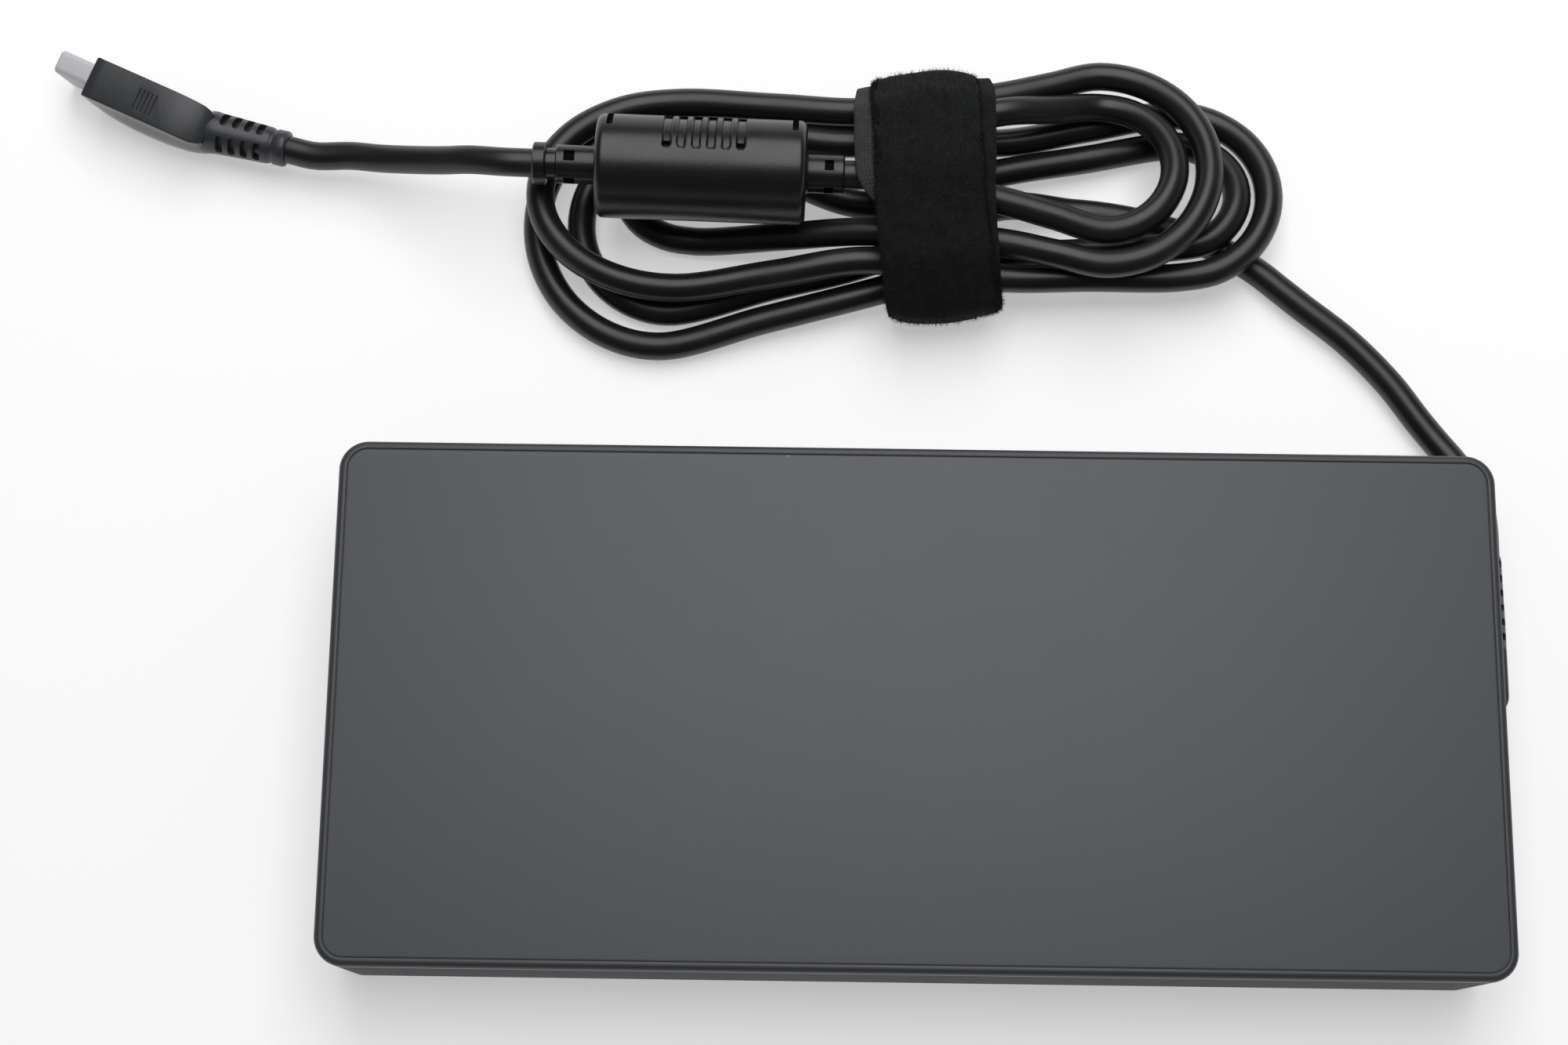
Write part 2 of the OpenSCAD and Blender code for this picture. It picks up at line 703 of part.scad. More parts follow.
module fuse() {
    cap_length = 5;
    clip = 0.4;
    color("#d9d6c8") translate([fuse_at[0], fuse_at[1], board_top + fuse_diameter / 2 + clip])
        rotate([90, 0, 0]) {
            cylinder(d = fuse_diameter - 0.4, h = fuse_length, center = true);
            for (side = [-1, 1])
                translate([0, 0, side * (fuse_length - cap_length) / 2])
                    cylinder(d = fuse_diameter, h = cap_length, center = true);
        }
    color("#b9b6ad") for (side = [-1, 1])
        translate([fuse_at[0] - 2, fuse_at[1] + side * (fuse_length - cap_length) / 2 - 2,
                board_top])
            cube([4, 4, clip + 0.3]);
}

module varistor() {
    color("#2d55a0") disc_on(varistor_at, varistor_diameter, disc_thickness, board_top);
}

module inrush_thermistor() {
    color("#3d3b36") disc_on(thermistor_at, thermistor_diameter, disc_thickness, board_top);
}

module ring(outer, inner, height) {
    difference() {
        cylinder(d = outer, h = height);
        translate([0, 0, -1]) cylinder(d = inner, h = height + 2);
    }
}

ring_bore = ring_diameter * 0.55;
module line_choke_core() {
    color("#6f7a3a")
        translate([line_choke_at[0], line_choke_at[1], board_top + winding_thickness])
            ring(ring_diameter, ring_bore, ring_height);
}

module line_choke_winding() {
    wind_inner = ring_bore - 2 * winding_thickness;
    wind_height = ring_height + 2 * winding_thickness;
    color("#b06a35") translate([line_choke_at[0], line_choke_at[1], board_top])
        difference() {
            ring(ring_outer, wind_inner, wind_height);
            translate([0, 0, winding_thickness]) ring(ring_diameter, ring_bore, ring_height);
            for (a = [0, 90])
                rotate([0, 0, a])
                    translate([0, 0, wind_height / 2])
                        cube([3, ring_outer + 2, wind_height + 2], center = true);
        }
}

module x_capacitor() {
    color("#d8b13a")
        box_on(x_capacitor_at, [x_capacitor_length, x_capacitor_width, part_height], board_top);
}

module y_capacitors() {
    color("#3f78b8") for (i = [0:2])
        translate([y_capacitor_at[0] + i * y_capacitor_pitch, y_capacitor_at[1],
                board_top + y_capacitor_diameter / 2])
            rotate([90, 0, 0])
                cylinder(d = y_capacitor_diameter, h = y_capacitor_thickness, center = true);
}

module bridge_rectifier() {
    color("#1f1f20")
        translate([bridge_left, heatsink_face, board_top])
            cube([bridge_width, transistor_thickness, transistor_height]);
}

// Ferrite core of two plates, two outer legs and a round middle leg
module power_core(at) {
    color("#3b3d40") translate([at[0], at[1], board_top]) {
        for (z = [0, part_height - core_plate])
            translate([-core_length / 2, -core_width / 2, z])
                cube([core_length, core_width, core_plate]);
        for (x = [-core_length / 2, core_length / 2 - core_leg])
            translate([x, -core_width / 2, 0]) cube([core_leg, core_width, part_height]);
        cylinder(d = core_post, h = part_height);
    }
}

module power_winding(at, shade) {
    wind_height = part_height - 2 * core_plate - 2 * fit_gap;
    wind_outer = core_length - 2 * core_leg - 2 * fit_gap;
    color(shade) translate([at[0], at[1], board_top + core_plate + fit_gap])
        ring(wind_outer, core_post + 2 * fit_gap, wind_height);
}

module boost_choke_core() { power_core(boost_choke_at); }
module boost_choke_winding() { power_winding(boost_choke_at, "#b5763b"); }
module transformer_core() { power_core(transformer_at); }
module transformer_winding() { power_winding(transformer_at, "#c9a227"); }

// A transistor that stands with its back on a heatsink, with the hole for its screw
module transistor() {
    difference() {
        translate([-transistor_width / 2, 0, board_top])
            cube([transistor_width, transistor_thickness, transistor_height]);
        translate([0, -1, screw_height]) rotate([-90, 0, 0])
            cylinder(d = screw_diameter + 2 * fit_gap, h = transistor_thickness + 2,
                $fn = small_fn);
    }
}

module each_rectifier() {
    for (i = [-1:1])
        translate([secondary_face, secondary_heatsink_at[1] + i * rectifier_pitch, 0])
            rotate([0, 0, -90]) children();
}
module each_transistor() {
    for (i = [0:2])
        translate([first_transistor + i * transistor_pitch, heatsink_face, 0]) children();
}

module power_transistors() { color("#1f1f20") each_transistor() transistor(); }
module rectifier_transistors() { color("#1f1f20") each_rectifier() transistor(); }

module screw_hole() {
    translate([0, -heatsink_thickness - 1, screw_height]) rotate([-90, 0, 0])
        cylinder(d = screw_diameter, h = heatsink_thickness + 2, $fn = small_fn);
}

module primary_heatsink() {
    color("#b8babd") difference() {
        box_on(primary_heatsink_at, [primary_heatsink_length, heatsink_thickness, part_height],
            board_top);
        each_transistor() screw_hole();
    }
}

module secondary_heatsink() {
    color("#b8babd") difference() {
        box_on(secondary_heatsink_at,
            [heatsink_thickness, secondary_heatsink_length, part_height], board_top);
        each_rectifier() screw_hole();
    }
}

module screw() {
    translate([0, -heatsink_thickness, screw_height]) rotate([-90, 0, 0]) {
        cylinder(d = screw_diameter, h = heatsink_thickness + transistor_thickness,
            $fn = small_fn);
        translate([0, 0, heatsink_thickness + transistor_thickness])
            cylinder(d = screw_head, h = screw_head_height, $fn = small_fn);
    }
}
module heatsink_screws() {
    color("#8d9094") {
        each_transistor() screw();
        each_rectifier() screw();
    }
}

module bulk_capacitors() {
    color("#2b2c30") for (i = [0, 1])
        translate([bulk_at[0], bulk_at[1] - i * (bulk_diameter + part_gap),
                board_top + bulk_diameter / 2])
            rotate([0, 90, 0]) cylinder(d = bulk_diameter, h = bulk_length, center = true);
}

module resonant_capacitor() {
    color("#a83a2b")
        box_on(resonant_at, [resonant_length, resonant_width, resonant_height], board_top);
}

module output_capacitors() {
    color("#3a4a66") for (i = [0, 1], j = [0:2])
        translate([output_at[0] + i * output_pitch, output_at[1] + j * output_pitch, board_top])
            cylinder(d = output_diameter, h = part_height);
}

module output_choke() {
    color("#b06a35")
        translate([output_choke_at[0], output_choke_at[1],
                board_top + output_choke_diameter / 2])
            rotate([0, 90, 0])
                cylinder(d = output_choke_diameter, h = output_choke_length, center = true);
}

module control_board() {
    color("#2f6b3c")
        box_on(control_at, [control_length, board_thickness, control_height], board_top);
}

module control_chips() {
    color("#1f1f20") for (i = [-1:1])
        box_on([control_at[0] + i * chip_pitch,
                control_at[1] - (board_thickness + chip_thickness) / 2],
            [chip_width, chip_thickness, chip_width], board_top + chip_width);
}

module optocouplers() {
    color("#1f1f20") for (i = [-1, 1])
        box_on([optocoupler_at[0] + i * optocoupler_length, optocoupler_at[1]],
            [optocoupler_width, optocoupler_length, optocoupler_height], board_top);
}

// ---- sheets, spreaders and pads ----

module bottom_insulator() {
    color("#e8d9a8") translate([board_middle, 0, floor_top])
        plate(sheet_length, 2 * sheet_half, sheet_thickness);
}
module bottom_spreader() {
    color("#b8babd") translate([board_middle, 0, lower_spreader_z])
        plate(sheet_length, 2 * sheet_half, spreader_thickness);
}
module top_spreader() {
    color("#b8babd") translate([board_middle, 0, upper_spreader_z])
        plate(sheet_length, 2 * sheet_half, spreader_thickness);
}
module top_insulator() {
    color("#e8d9a8") translate([board_middle, 0, upper_sheet_z])
        plate(sheet_length, 2 * sheet_half, sheet_thickness);
}

module thermal_pads() {
    color("#8fa3b8") {
        for (at = [boost_choke_at, transformer_at])
            box_on(at, [core_length - 2 * pad_inset, core_width - 2 * pad_inset, pad_thickness],
                parts_top);
        for (side = [-1, 1])
            box_on([board_middle + side * board_length / 4, 0],
                [pad_length, pad_width, under_board_gap], lower_spreader_top);
    }
}

module output_wires() {
    wire_z = board_top + output_wire / 2;
    inner = right_end - case_wall - 1;
    color("#26272a") for (y = [-1, 1])
        tube([
            [inner, stem_y + y * 1.35, boot_height],
            [inner - 2.4, stem_y + y * 1.35, boot_height],
            [inner - 5, stem_y + y * 1.6, (boot_height + wire_z) / 2 + 0.8],
            [inner - 7.5, stem_y + y * 2, wire_z + 0.2],
            [inner - 10, stem_y + y * 2, wire_z],
            [inner - 14, stem_y + y * 2, wire_z]
        ], output_wire / 2, 8);
}

// ---- cord exit and cord ----

// Short slots cut around a sleeve that runs along +Z, turned a quarter from row to row
module sleeve_slots(first, rows, pitch, width, radius, depth) {
    for (i = [0:rows - 1], side = [0, 1])
        translate([0, 0, first + i * pitch])
            rotate([0, 0, 90 * (i % 2) + 180 * side])
                translate([radius - depth, -width / 2, 0]) cube([depth + 1, width, pitch / 2]);
}

module exit_boot() {
    color("#2b2c2e") {
        translate([boot_x, boot_block_end, boot_height]) rotate([-90, 0, 0])
            difference() {
                cylinder(d = boot_diameter, h = boot_sleeve);
                sleeve_slots(1.5, 5, slot_pitch, 3, boot_diameter / 2, 0.7);
            }
        translate([boot_x, boot_start, boot_height - boot_diameter / 2 - 0.4])
            translate([-boot_diameter / 2 - 0.05, 0, 0])
                linear_extrude(boot_diameter + 0.8)
                    polygon([
                        [0, 0], [boot_diameter - 1.8, 0], [boot_diameter - 0.6, 2],
                        [boot_diameter - 0.6, boot_block], [0, boot_block]
                    ]);
        translate([right_end - case_wall - 1, stem_y, boot_height]) rotate([0, 90, 0])
            cylinder(d = stem_diameter, h = case_wall + 2);
    }
}

module dc_cord_lead() { color("#1d1e20") tube(lead_route, cord_radius, 10); }

module dc_cord_hank() {
    color("#1d1e20") tube(hank_points, cord_radius, 6);
}

module along_choke() {
    translate(choke_at) rotate([0, 0, choke_turn]) rotate([0, 90, 0]) children();
}

module dc_cord_in_choke() {
    color("#1d1e20") along_choke()
        translate([0, 0, -choke_length / 2 - left_neck - neck_ring])
            cylinder(d = cord_diameter, h = choke_length + left_neck + right_neck + 2 * neck_ring);
}

module dc_cord_tail() { color("#1d1e20") tube(tail_route, cord_radius, 10); }

module ferrite_core() {
    color("#3b3d40") along_choke() translate([0, 0, -ferrite_length / 2])
        ring(ferrite_diameter, ferrite_bore, ferrite_length);
}

// Cover moulded around the ferrite, with its necks, end rings, grip ribs and mould marks
choke_round = 2;
rib_count = 6;
rib_pitch = 2.9;
rib_middle = -1.4;
module choke_cover() {
    r = choke_diameter / 2;
    neck = neck_diameter / 2;
    half = choke_length / 2;
    left = -half - left_neck;
    right = half + right_neck;
    bore = cord_radius + 0.05;
    core = ferrite_diameter / 2 + 0.05;
    core_half = ferrite_length / 2 + 0.05;
    thin = neck - 0.5;
    color("#2b2c2e") along_choke() {
        difference() {
            rotate_extrude() polygon(concat(
                [[bore, left - neck_ring], [neck + 0.4, left - neck_ring], [neck + 0.4, left],
                    [thin, left], [thin, left + 2.2], [neck, left + 2.8], [neck, -half]],
                [for (i = [0:4]) let (a = 90 * i / 4)
                    [r - choke_round + choke_round * sin(a),
                        -half + choke_round - choke_round * cos(a)]],
                [for (i = [0:4]) let (a = 90 * i / 4)
                    [r - choke_round + choke_round * cos(a),
                        half - choke_round + choke_round * sin(a)]],
                [[neck, half], [neck, right], [neck + 0.3, right],
                    [neck + 0.3, right + neck_ring], [bore, right + neck_ring],
                    [bore, core_half], [core, core_half], [core, -core_half],
                    [bore, -core_half]]
            ));
            for (z = [left + 4, right - 2.2], a = [0:90:270])
                rotate([0, 0, a]) translate([neck - 0.8, -1.2, z]) cube([2, 2.4, 2]);
            for (z = [-7, 7.2])
                rotate([0, 0, 184.6]) translate([r - 0.8, -0.9, z - 0.9]) cube([2, 1.8, 1.8]);
            for (z = [-half + 2.4, half - 2.4])
                rotate([0, 0, 115]) translate([r - 0.8, -1.5, z - 0.8]) cube([2, 3, 1.6]);
        }
        for (i = [0:rib_count - 1])
            translate([0, 0, rib_middle + (i - (rib_count - 1) / 2) * rib_pitch])
                rotate([0, 0, 105]) rotate_extrude(angle = 75)
                    translate([r - 0.4, -0.5]) square([0.9, 1]);
    }
}

// ---- strap ----

// The strap lies at a small turn; its outline holds every pass at both of its edges
strap_slack = 0.4;
strap_turn_angle = 6;
strap_centre = 98;
function across_strap(x, y) = (y - strap_centre) * cos(strap_turn_angle)
    - (x - strap_middle) * sin(strap_turn_angle);
module strap_outline(grow) {
    hull() for (pass = passes, aside = [0, strap_loose]) {
        translate([across_strap(waist_right, pass[0]) - aside, pass[1]])
            circle(cord_radius + strap_slack + grow, $fn = small_fn);
        translate([across_strap(waist_left, pass[2]) - aside, pass[3]])
            circle(cord_radius + strap_slack + grow, $fn = small_fn);
    }
}
module strap_turn(inside, width) {
    color("#17181a") translate([strap_middle, strap_centre, 0])
        rotate([0, 0, strap_turn_angle]) rotate([90, 0, 90])
            linear_extrude(width, center = true) difference() {
                strap_outline(inside + strap_thickness);
                strap_outline(inside);
            }
}
module strap_inner_turn() { strap_turn(0, strap_inner_width); }
module strap_outer_turn() { strap_turn(strap_thickness + 0.02, strap_width); }

// ---- plug ----

shell_inside = 9;
module along_plug(lean = plug_lean) {
    translate(plug_at) rotate([0, 0, plug_turn]) rotate([lean, 0, 0]) children();
}
module tip_outline(grow) {
    rounded_rectangle(tip_thickness + 2 * grow, tip_width + 2 * grow, 1);
}

module plug_overmould() {
    corner = 1.5;
    color("#35363a") {
        along_plug() difference() {
            translate([plug_length / 2, 0, -plug_height / 2])
                rounded_block(plug_length, plug_width, plug_height, corner,
                    plug_edge, plug_edge);
            translate([-1, 0, 0]) rotate([90, 0, 90])
                linear_extrude(shell_inside + 1) tip_outline(0.05);
            for (i = [0:4], z = [-1, 1])
                translate([9 + i, -2, z * plug_height / 2 - 0.15]) cube([0.45, 4, 0.3]);
        }
        along_plug(0) translate([plug_length, 0, 0])
            rotate([0, 0, relief_turn]) rotate([0, 90, 0]) difference() {
                translate([0, 0, -relief_sink])
                    cylinder(d1 = relief_root, d2 = relief_tip, h = relief_length + relief_sink);
                sleeve_slots(2.2, 4, 2.6, 3, relief_tip / 2 + 0.2, 0.6);
            }
    }
}

module plug_shell() {
    color("#b9b9be") along_plug() translate([-tip_length, 0, 0]) rotate([90, 0, 90])
        linear_extrude(tip_length + shell_inside) difference() {
            tip_outline(0);
            rounded_rectangle(tip_thickness - 2 * tip_wall, tip_width - 2 * tip_wall, 0.6);
        }
}

module plug_insulator() {
    inset = 1;
    slot = [1.6, 7.2];
    color("#1b1b1c") along_plug() translate([-tip_length + inset, 0, 0]) rotate([90, 0, 90])
        difference() {
            linear_extrude(tip_length + shell_inside - inset)
                rounded_rectangle(tip_thickness - 2 * tip_wall - 0.1,
                    tip_width - 2 * tip_wall - 0.1, 0.55);
            translate([0, 0, -1]) linear_extrude(6.5) rounded_rectangle(slot[0], slot[1], 0.4);
            cylinder(d = pin_diameter, h = tip_length + shell_inside, $fn = small_fn);
        }
}

module plug_centre_pin() {
    color("#d6b25c") along_plug() translate([-tip_length + 2, 0, 0]) rotate([0, 90, 0])
        cylinder(d = pin_diameter, h = tip_length + shell_inside - 2, $fn = small_fn);
}

union() {  // dc_cord_hank
    echo("least gap between the hank's turns, mm", least_gap(hank_points));
    echo("cord: lead, hank, in the choke, tail, mm", length_of(lead_route),
        length_of(hank_points), norm(choke_right - choke_left), length_of(tail_route));
}

top_cover();
bottom_tray();
inlet_housing();
inlet_blades();
inlet_wires();
circuit_board();
fuse();
varistor();
inrush_thermistor();
line_choke_core();
line_choke_winding();
x_capacitor();
y_capacitors();
bridge_rectifier();
boost_choke_core();
boost_choke_winding();
power_transistors();
primary_heatsink();
bulk_capacitors();
transformer_core();
transformer_winding();
resonant_capacitor();
rectifier_transistors();
secondary_heatsink();
output_capacitors();
output_choke();
control_board();
control_chips();
optocouplers();
heatsink_screws();
bottom_insulator();
bottom_spreader();
top_spreader();
top_insulator();
thermal_pads();
output_wires();
exit_boot();
dc_cord_lead();
dc_cord_hank();
dc_cord_in_choke();
dc_cord_tail();
ferrite_core();
choke_cover();
strap_inner_turn();
strap_outer_turn();
plug_overmould();
plug_shell();
plug_insulator();
plug_centre_pin();
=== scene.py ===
import math

import bmesh
import bpy
import numpy as np
from mathutils import Matrix, Vector


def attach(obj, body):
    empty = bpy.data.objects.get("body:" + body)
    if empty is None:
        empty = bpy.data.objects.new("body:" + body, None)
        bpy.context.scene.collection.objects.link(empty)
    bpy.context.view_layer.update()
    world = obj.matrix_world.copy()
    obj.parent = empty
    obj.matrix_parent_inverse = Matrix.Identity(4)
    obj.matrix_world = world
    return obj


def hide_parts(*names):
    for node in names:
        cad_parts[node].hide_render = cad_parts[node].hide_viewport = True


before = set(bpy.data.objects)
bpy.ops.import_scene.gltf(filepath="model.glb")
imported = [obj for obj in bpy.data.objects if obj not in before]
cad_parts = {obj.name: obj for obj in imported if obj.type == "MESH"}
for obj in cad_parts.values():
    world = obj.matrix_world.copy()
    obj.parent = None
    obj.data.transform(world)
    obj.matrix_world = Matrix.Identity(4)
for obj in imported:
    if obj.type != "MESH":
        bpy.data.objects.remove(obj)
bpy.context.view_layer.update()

MM = 0.001
NEARLY = 1e-4  # millimetres: closer than this is the same place


# ---- camera: a 36 mm wide sensor; its place is in millimetres and its turns in degrees ----

LENS = 59.04
CAMERA_AT = (-22.1, -70.0, 457.5)
CAMERA_TURNS = (("X", 13.25), ("Y", 0.10), ("Z", 0.78))


def make_camera():
    """The camera above the case, looking almost straight down."""
    data = bpy.data.cameras.new("camera")
    data.sensor_width = 36.0
    data.sensor_fit = "HORIZONTAL"
    data.lens = LENS
    data.clip_start = 0.01
    data.clip_end = 40.0
    camera = bpy.data.objects.new("camera", data)
    bpy.context.scene.collection.objects.link(camera)
    placed = Matrix.Translation(Vector(CAMERA_AT) * MM)
    for axis, degrees in CAMERA_TURNS:
        placed = placed @ Matrix.Rotation(math.radians(degrees), 4, axis)
    camera.matrix_world = placed
    bpy.context.scene.camera = camera


make_camera()


# ---- shaping: every bmesh is in millimetres until it is finished ----

def finished(bm, name, sharp=30.0):
    """Makes a piece at the origin, smooth apart from edges sharper than `sharp` degrees."""
    bmesh.ops.remove_doubles(bm, verts=bm.verts, dist=NEARLY)
    bmesh.ops.recalc_face_normals(bm, faces=bm.faces)
    bmesh.ops.scale(bm, vec=(MM, MM, MM), verts=bm.verts)
    mesh = bpy.data.meshes.new(name)
    bm.to_mesh(mesh)
    bm.free()
    piece = bpy.data.objects.new(name, mesh)
    bpy.context.scene.collection.objects.link(piece)
    return shaded(piece, sharp)


def shaded(piece, sharp):
    """Shades a piece smooth, apart from open edges and those sharper than `sharp` degrees."""
    bm = bmesh.new()
    bm.from_mesh(piece.data)
    limit = math.radians(sharp)
    for face in bm.faces:
        face.smooth = True
    for edge in bm.edges:
        edge.smooth = len(edge.link_faces) == 2 and edge.calc_face_angle(0.0) < limit
    bm.to_mesh(piece.data)
    bm.free()
    return piece


def block(low, high):
    """A box between two corners."""
    bm = bmesh.new()
    bmesh.ops.create_cube(bm, size=1.0)
    bmesh.ops.scale(bm, vec=[b - a for a, b in zip(low, high)], verts=bm.verts)
    bmesh.ops.translate(bm, vec=[(a + b) / 2 for a, b in zip(low, high)], verts=bm.verts)
    return bm


def bevelled(bm, edges, radius, steps):
    """Rounds the edges."""
    bmesh.ops.bevel(bm, geom=list(edges), offset=radius, segments=steps, profile=0.5,
                    affect="EDGES", material=-1)
    return bm


def along(bm, axis):
    """The edges that run along one axis."""
    others = [k for k in range(3) if k != axis]
    return [e for e in bm.edges
            if all(abs(e.verts[0].co[k] - e.verts[1].co[k]) < NEARLY for k in others)]


def level(bm, axis, at):
    """The edges that lie wholly at one place along an axis."""
    return [e for e in bm.edges if all(abs(v.co[axis] - at) < NEARLY for v in e.verts)]


def facing(bm, axis, at):
    """The widest flat face at one place along an axis."""
    faces = [f for f in bm.faces if all(abs(v.co[axis] - at) < NEARLY for v in f.verts)]
    return max(faces, key=lambda f: f.calc_area())


def stepped(bm, face, steps):
    """Insets a face again and again, each time (inwards, outwards)."""
    for inwards, outwards in steps:
        bmesh.ops.inset_region(bm, faces=[face], thickness=inwards, depth=outwards,
                               use_even_offset=True, use_boundary=True)
    return bm


def spun(outline, around=48):
    """Spins a closed (along, radius) outline round Z."""
    bm = bmesh.new()
    line = [bm.verts.new((r, 0, z)) for z, r in outline]
    edges = [bm.edges.new(pair) for pair in zip(line, line[1:] + line[:1])]
    bmesh.ops.spin(bm, geom=line + edges, axis=(0, 0, 1), cent=(0, 0, 0),
                   angle=2 * math.pi, steps=around, use_merge=True)
    return bm


def bent_grid(points, size, closed=False):
    """A grid whose corners are moved to points[row][column]; u and v cover `size`."""
    rows, columns = len(points) - 1, len(points[0]) - 1
    bm = bmesh.new()
    flat = bm.loops.layers.uv.new("UVMap")
    bmesh.ops.create_grid(bm, x_segments=columns, y_segments=rows, size=0.5, calc_uvs=True)
    for v in bm.verts:
        v.co = points[round((v.co.y + 0.5) * rows)][round((v.co.x + 0.5) * columns)]
    for face in bm.faces:
        for loop in face.loops:
            loop[flat].uv.x *= size[0]
            loop[flat].uv.y *= size[1]
    if closed:
        bmesh.ops.remove_doubles(bm, verts=bm.verts, dist=NEARLY)
    return bm


def cut(piece, cutters, sharp=30.0):
    """Takes the cutters out of the piece and removes them."""
    for cutter in cutters:
        change = piece.modifiers.new("cut", "BOOLEAN")
        change.operation = "DIFFERENCE"
        change.solver = "EXACT"
        change.object = cutter
    bpy.context.view_layer.update()
    shape = bpy.data.meshes.new_from_object(
        piece.evaluated_get(bpy.context.evaluated_depsgraph_get()))
    piece.modifiers.clear()
    old, piece.data = piece.data, shape
    shape.name = piece.name
    bpy.data.meshes.remove(old)
    for cutter in cutters:
        data = cutter.data
        bpy.data.objects.remove(cutter)
        bpy.data.meshes.remove(data)
    bm = bmesh.new()
    bm.from_mesh(piece.data)
    bmesh.ops.remove_doubles(bm, verts=bm.verts, dist=NEARLY * MM)
    bm.to_mesh(piece.data)
    bm.free()
    return shaded(piece, sharp)


def move(piece, matrix):
    """Puts a matrix, in millimetres, into the mesh itself."""
    placed = matrix.copy()
    placed.translation = matrix.translation * MM
    piece.data.transform(placed)
    return piece


def joined(name, pieces, sharp=30.0):
    """One piece out of several."""
    bm = bmesh.new()
    for piece in pieces:
        bm.from_mesh(piece.data)
    mesh = bpy.data.meshes.new(name)
    bm.to_mesh(mesh)
    bm.free()
    for piece in pieces:
        data = piece.data
        bpy.data.objects.remove(piece)
        bpy.data.meshes.remove(data)
    result = bpy.data.objects.new(name, mesh)
    bpy.context.scene.collection.objects.link(result)
    return shaded(result, sharp)


def turned(direction, at):
    """The matrix that lays +Z along a direction, with +X as near up as it goes."""
    z = Vector(unit(direction))
    x = Vector((0, 0, 1)) - z * z.z
    x.normalize()
    m = Matrix((x, z.cross(x), z)).transposed().to_4x4()
    m.translation = Vector(at)
    return m


def unit(v):
    """The vector at a length of 1."""
    v = np.asarray(v, float)
    return v / np.linalg.norm(v)


def ride(piece, finish, slot, *nodes):
    """Gives a piece its finish, hides the nodes that it dresses and ties it to the body."""
    piece.data.materials.append(finish)
    if nodes:
        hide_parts(*nodes)
    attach(piece, "root")
    return piece


def second_finish(piece, finish, chosen):
    """Gives the chosen faces of a piece another finish."""
    piece.data.materials.append(finish)
    for face in piece.data.polygons:
        face.material_index = int(chosen(face))
    return piece


CURVE_STEPS = 24  # between two points, before the curve is evened out


def smooth_route(points, step):
    """A smooth curve through the points in even steps, and its length."""
    p = np.array(points, float)
    p = np.vstack([2 * p[0] - p[1], p, 2 * p[-1] - p[-2]])
    out = []
    for i in range(1, len(p) - 2):
        a, b, c, d = p[i - 1], p[i], p[i + 1], p[i + 2]
        ta = 0.0
        tb = ta + np.linalg.norm(b - a) ** 0.5
        tc = tb + np.linalg.norm(c - b) ** 0.5
        td = tc + np.linalg.norm(d - c) ** 0.5
        for t in np.linspace(tb, tc, CURVE_STEPS, endpoint=False):
            ab = (tb - t) / (tb - ta) * a + (t - ta) / (tb - ta) * b
            bc = (tc - t) / (tc - tb) * b + (t - tb) / (tc - tb) * c
            cd = (td - t) / (td - tc) * c + (t - tc) / (td - tc) * d
            abc = (tc - t) / (tc - ta) * ab + (t - ta) / (tc - ta) * bc
            bcd = (td - t) / (td - tb) * bc + (t - tb) / (td - tb) * cd
            out.append((tc - t) / (tc - tb) * abc + (t - tb) / (tc - tb) * bcd)
    out.append(p[-2])
    out = np.array(out)
    far = np.concatenate([[0], np.cumsum(np.linalg.norm(np.diff(out, axis=0), axis=1))])
    even = np.linspace(0, far[-1], max(int(round(far[-1] / step)), 2) + 1)
    return np.stack([np.interp(even, far, out[:, k]) for k in range(3)], 1), far[-1]


def tube(name, route, length, radius, around=20):
    """A round tube along the route; u goes round it and v runs along it in millimetres."""
    count = len(route)
    ahead = [unit(route[min(i + 1, count - 1)] - route[max(i - 1, 0)]) for i in range(count)]
    side = unit(np.cross(ahead[0], (0, 0, 1)))
    angles = 2 * math.pi * np.arange(around + 1) / around
    rings = []
    for at, forward in zip(route, ahead):
        side = unit(side - forward * np.dot(side, forward))
        up = np.cross(side, forward)
        rings.append(at + radius * (np.outer(np.cos(angles), side) + np.outer(np.sin(angles), up)))
    bm = bent_grid(rings, (1.0, length), closed=True)
    bmesh.ops.holes_fill(bm, edges=[e for e in bm.edges if e.is_boundary], sides=0)
    return finished(bm, name, 50)


# ---- cord: its diameter and its route, in millimetres ----

CORD = 5.2
CORD_BORE = 2.62  # radius of the holes that it passes through
ROUTE_STEP = 1.5
HELD = 6.0  # how far it reaches into the boot and the strain relief
BOOT_TIP = np.array([103.05, 31.5, 6.5])
LEAD = [[102.9, 40.5, 5.6], [101.6, 45.5, 4.2], [99, 50, 3.2], [96, 54, 2.7], [93, 58, 2.6],
        [88, 65, 2.6], [80.5, 73, 2.6], [72.6, 79.4, 2.6]]
HANK_ENTRY = [68.6, 82.7, 2.6]
RUN_IN = [[64.6, 86, 2.6], [58.5, 89.9, 2.6], [50.5, 93.3, 2.6], [41, 96, 2.6], [30, 97.4, 2.6]]
TAIL = [[-81, 101, 16.4], [-86.5, 101.8, 13.8], [-92.5, 102.9, 11], [-98.5, 104, 8.6],
        [-104.5, 105, 7.2]]

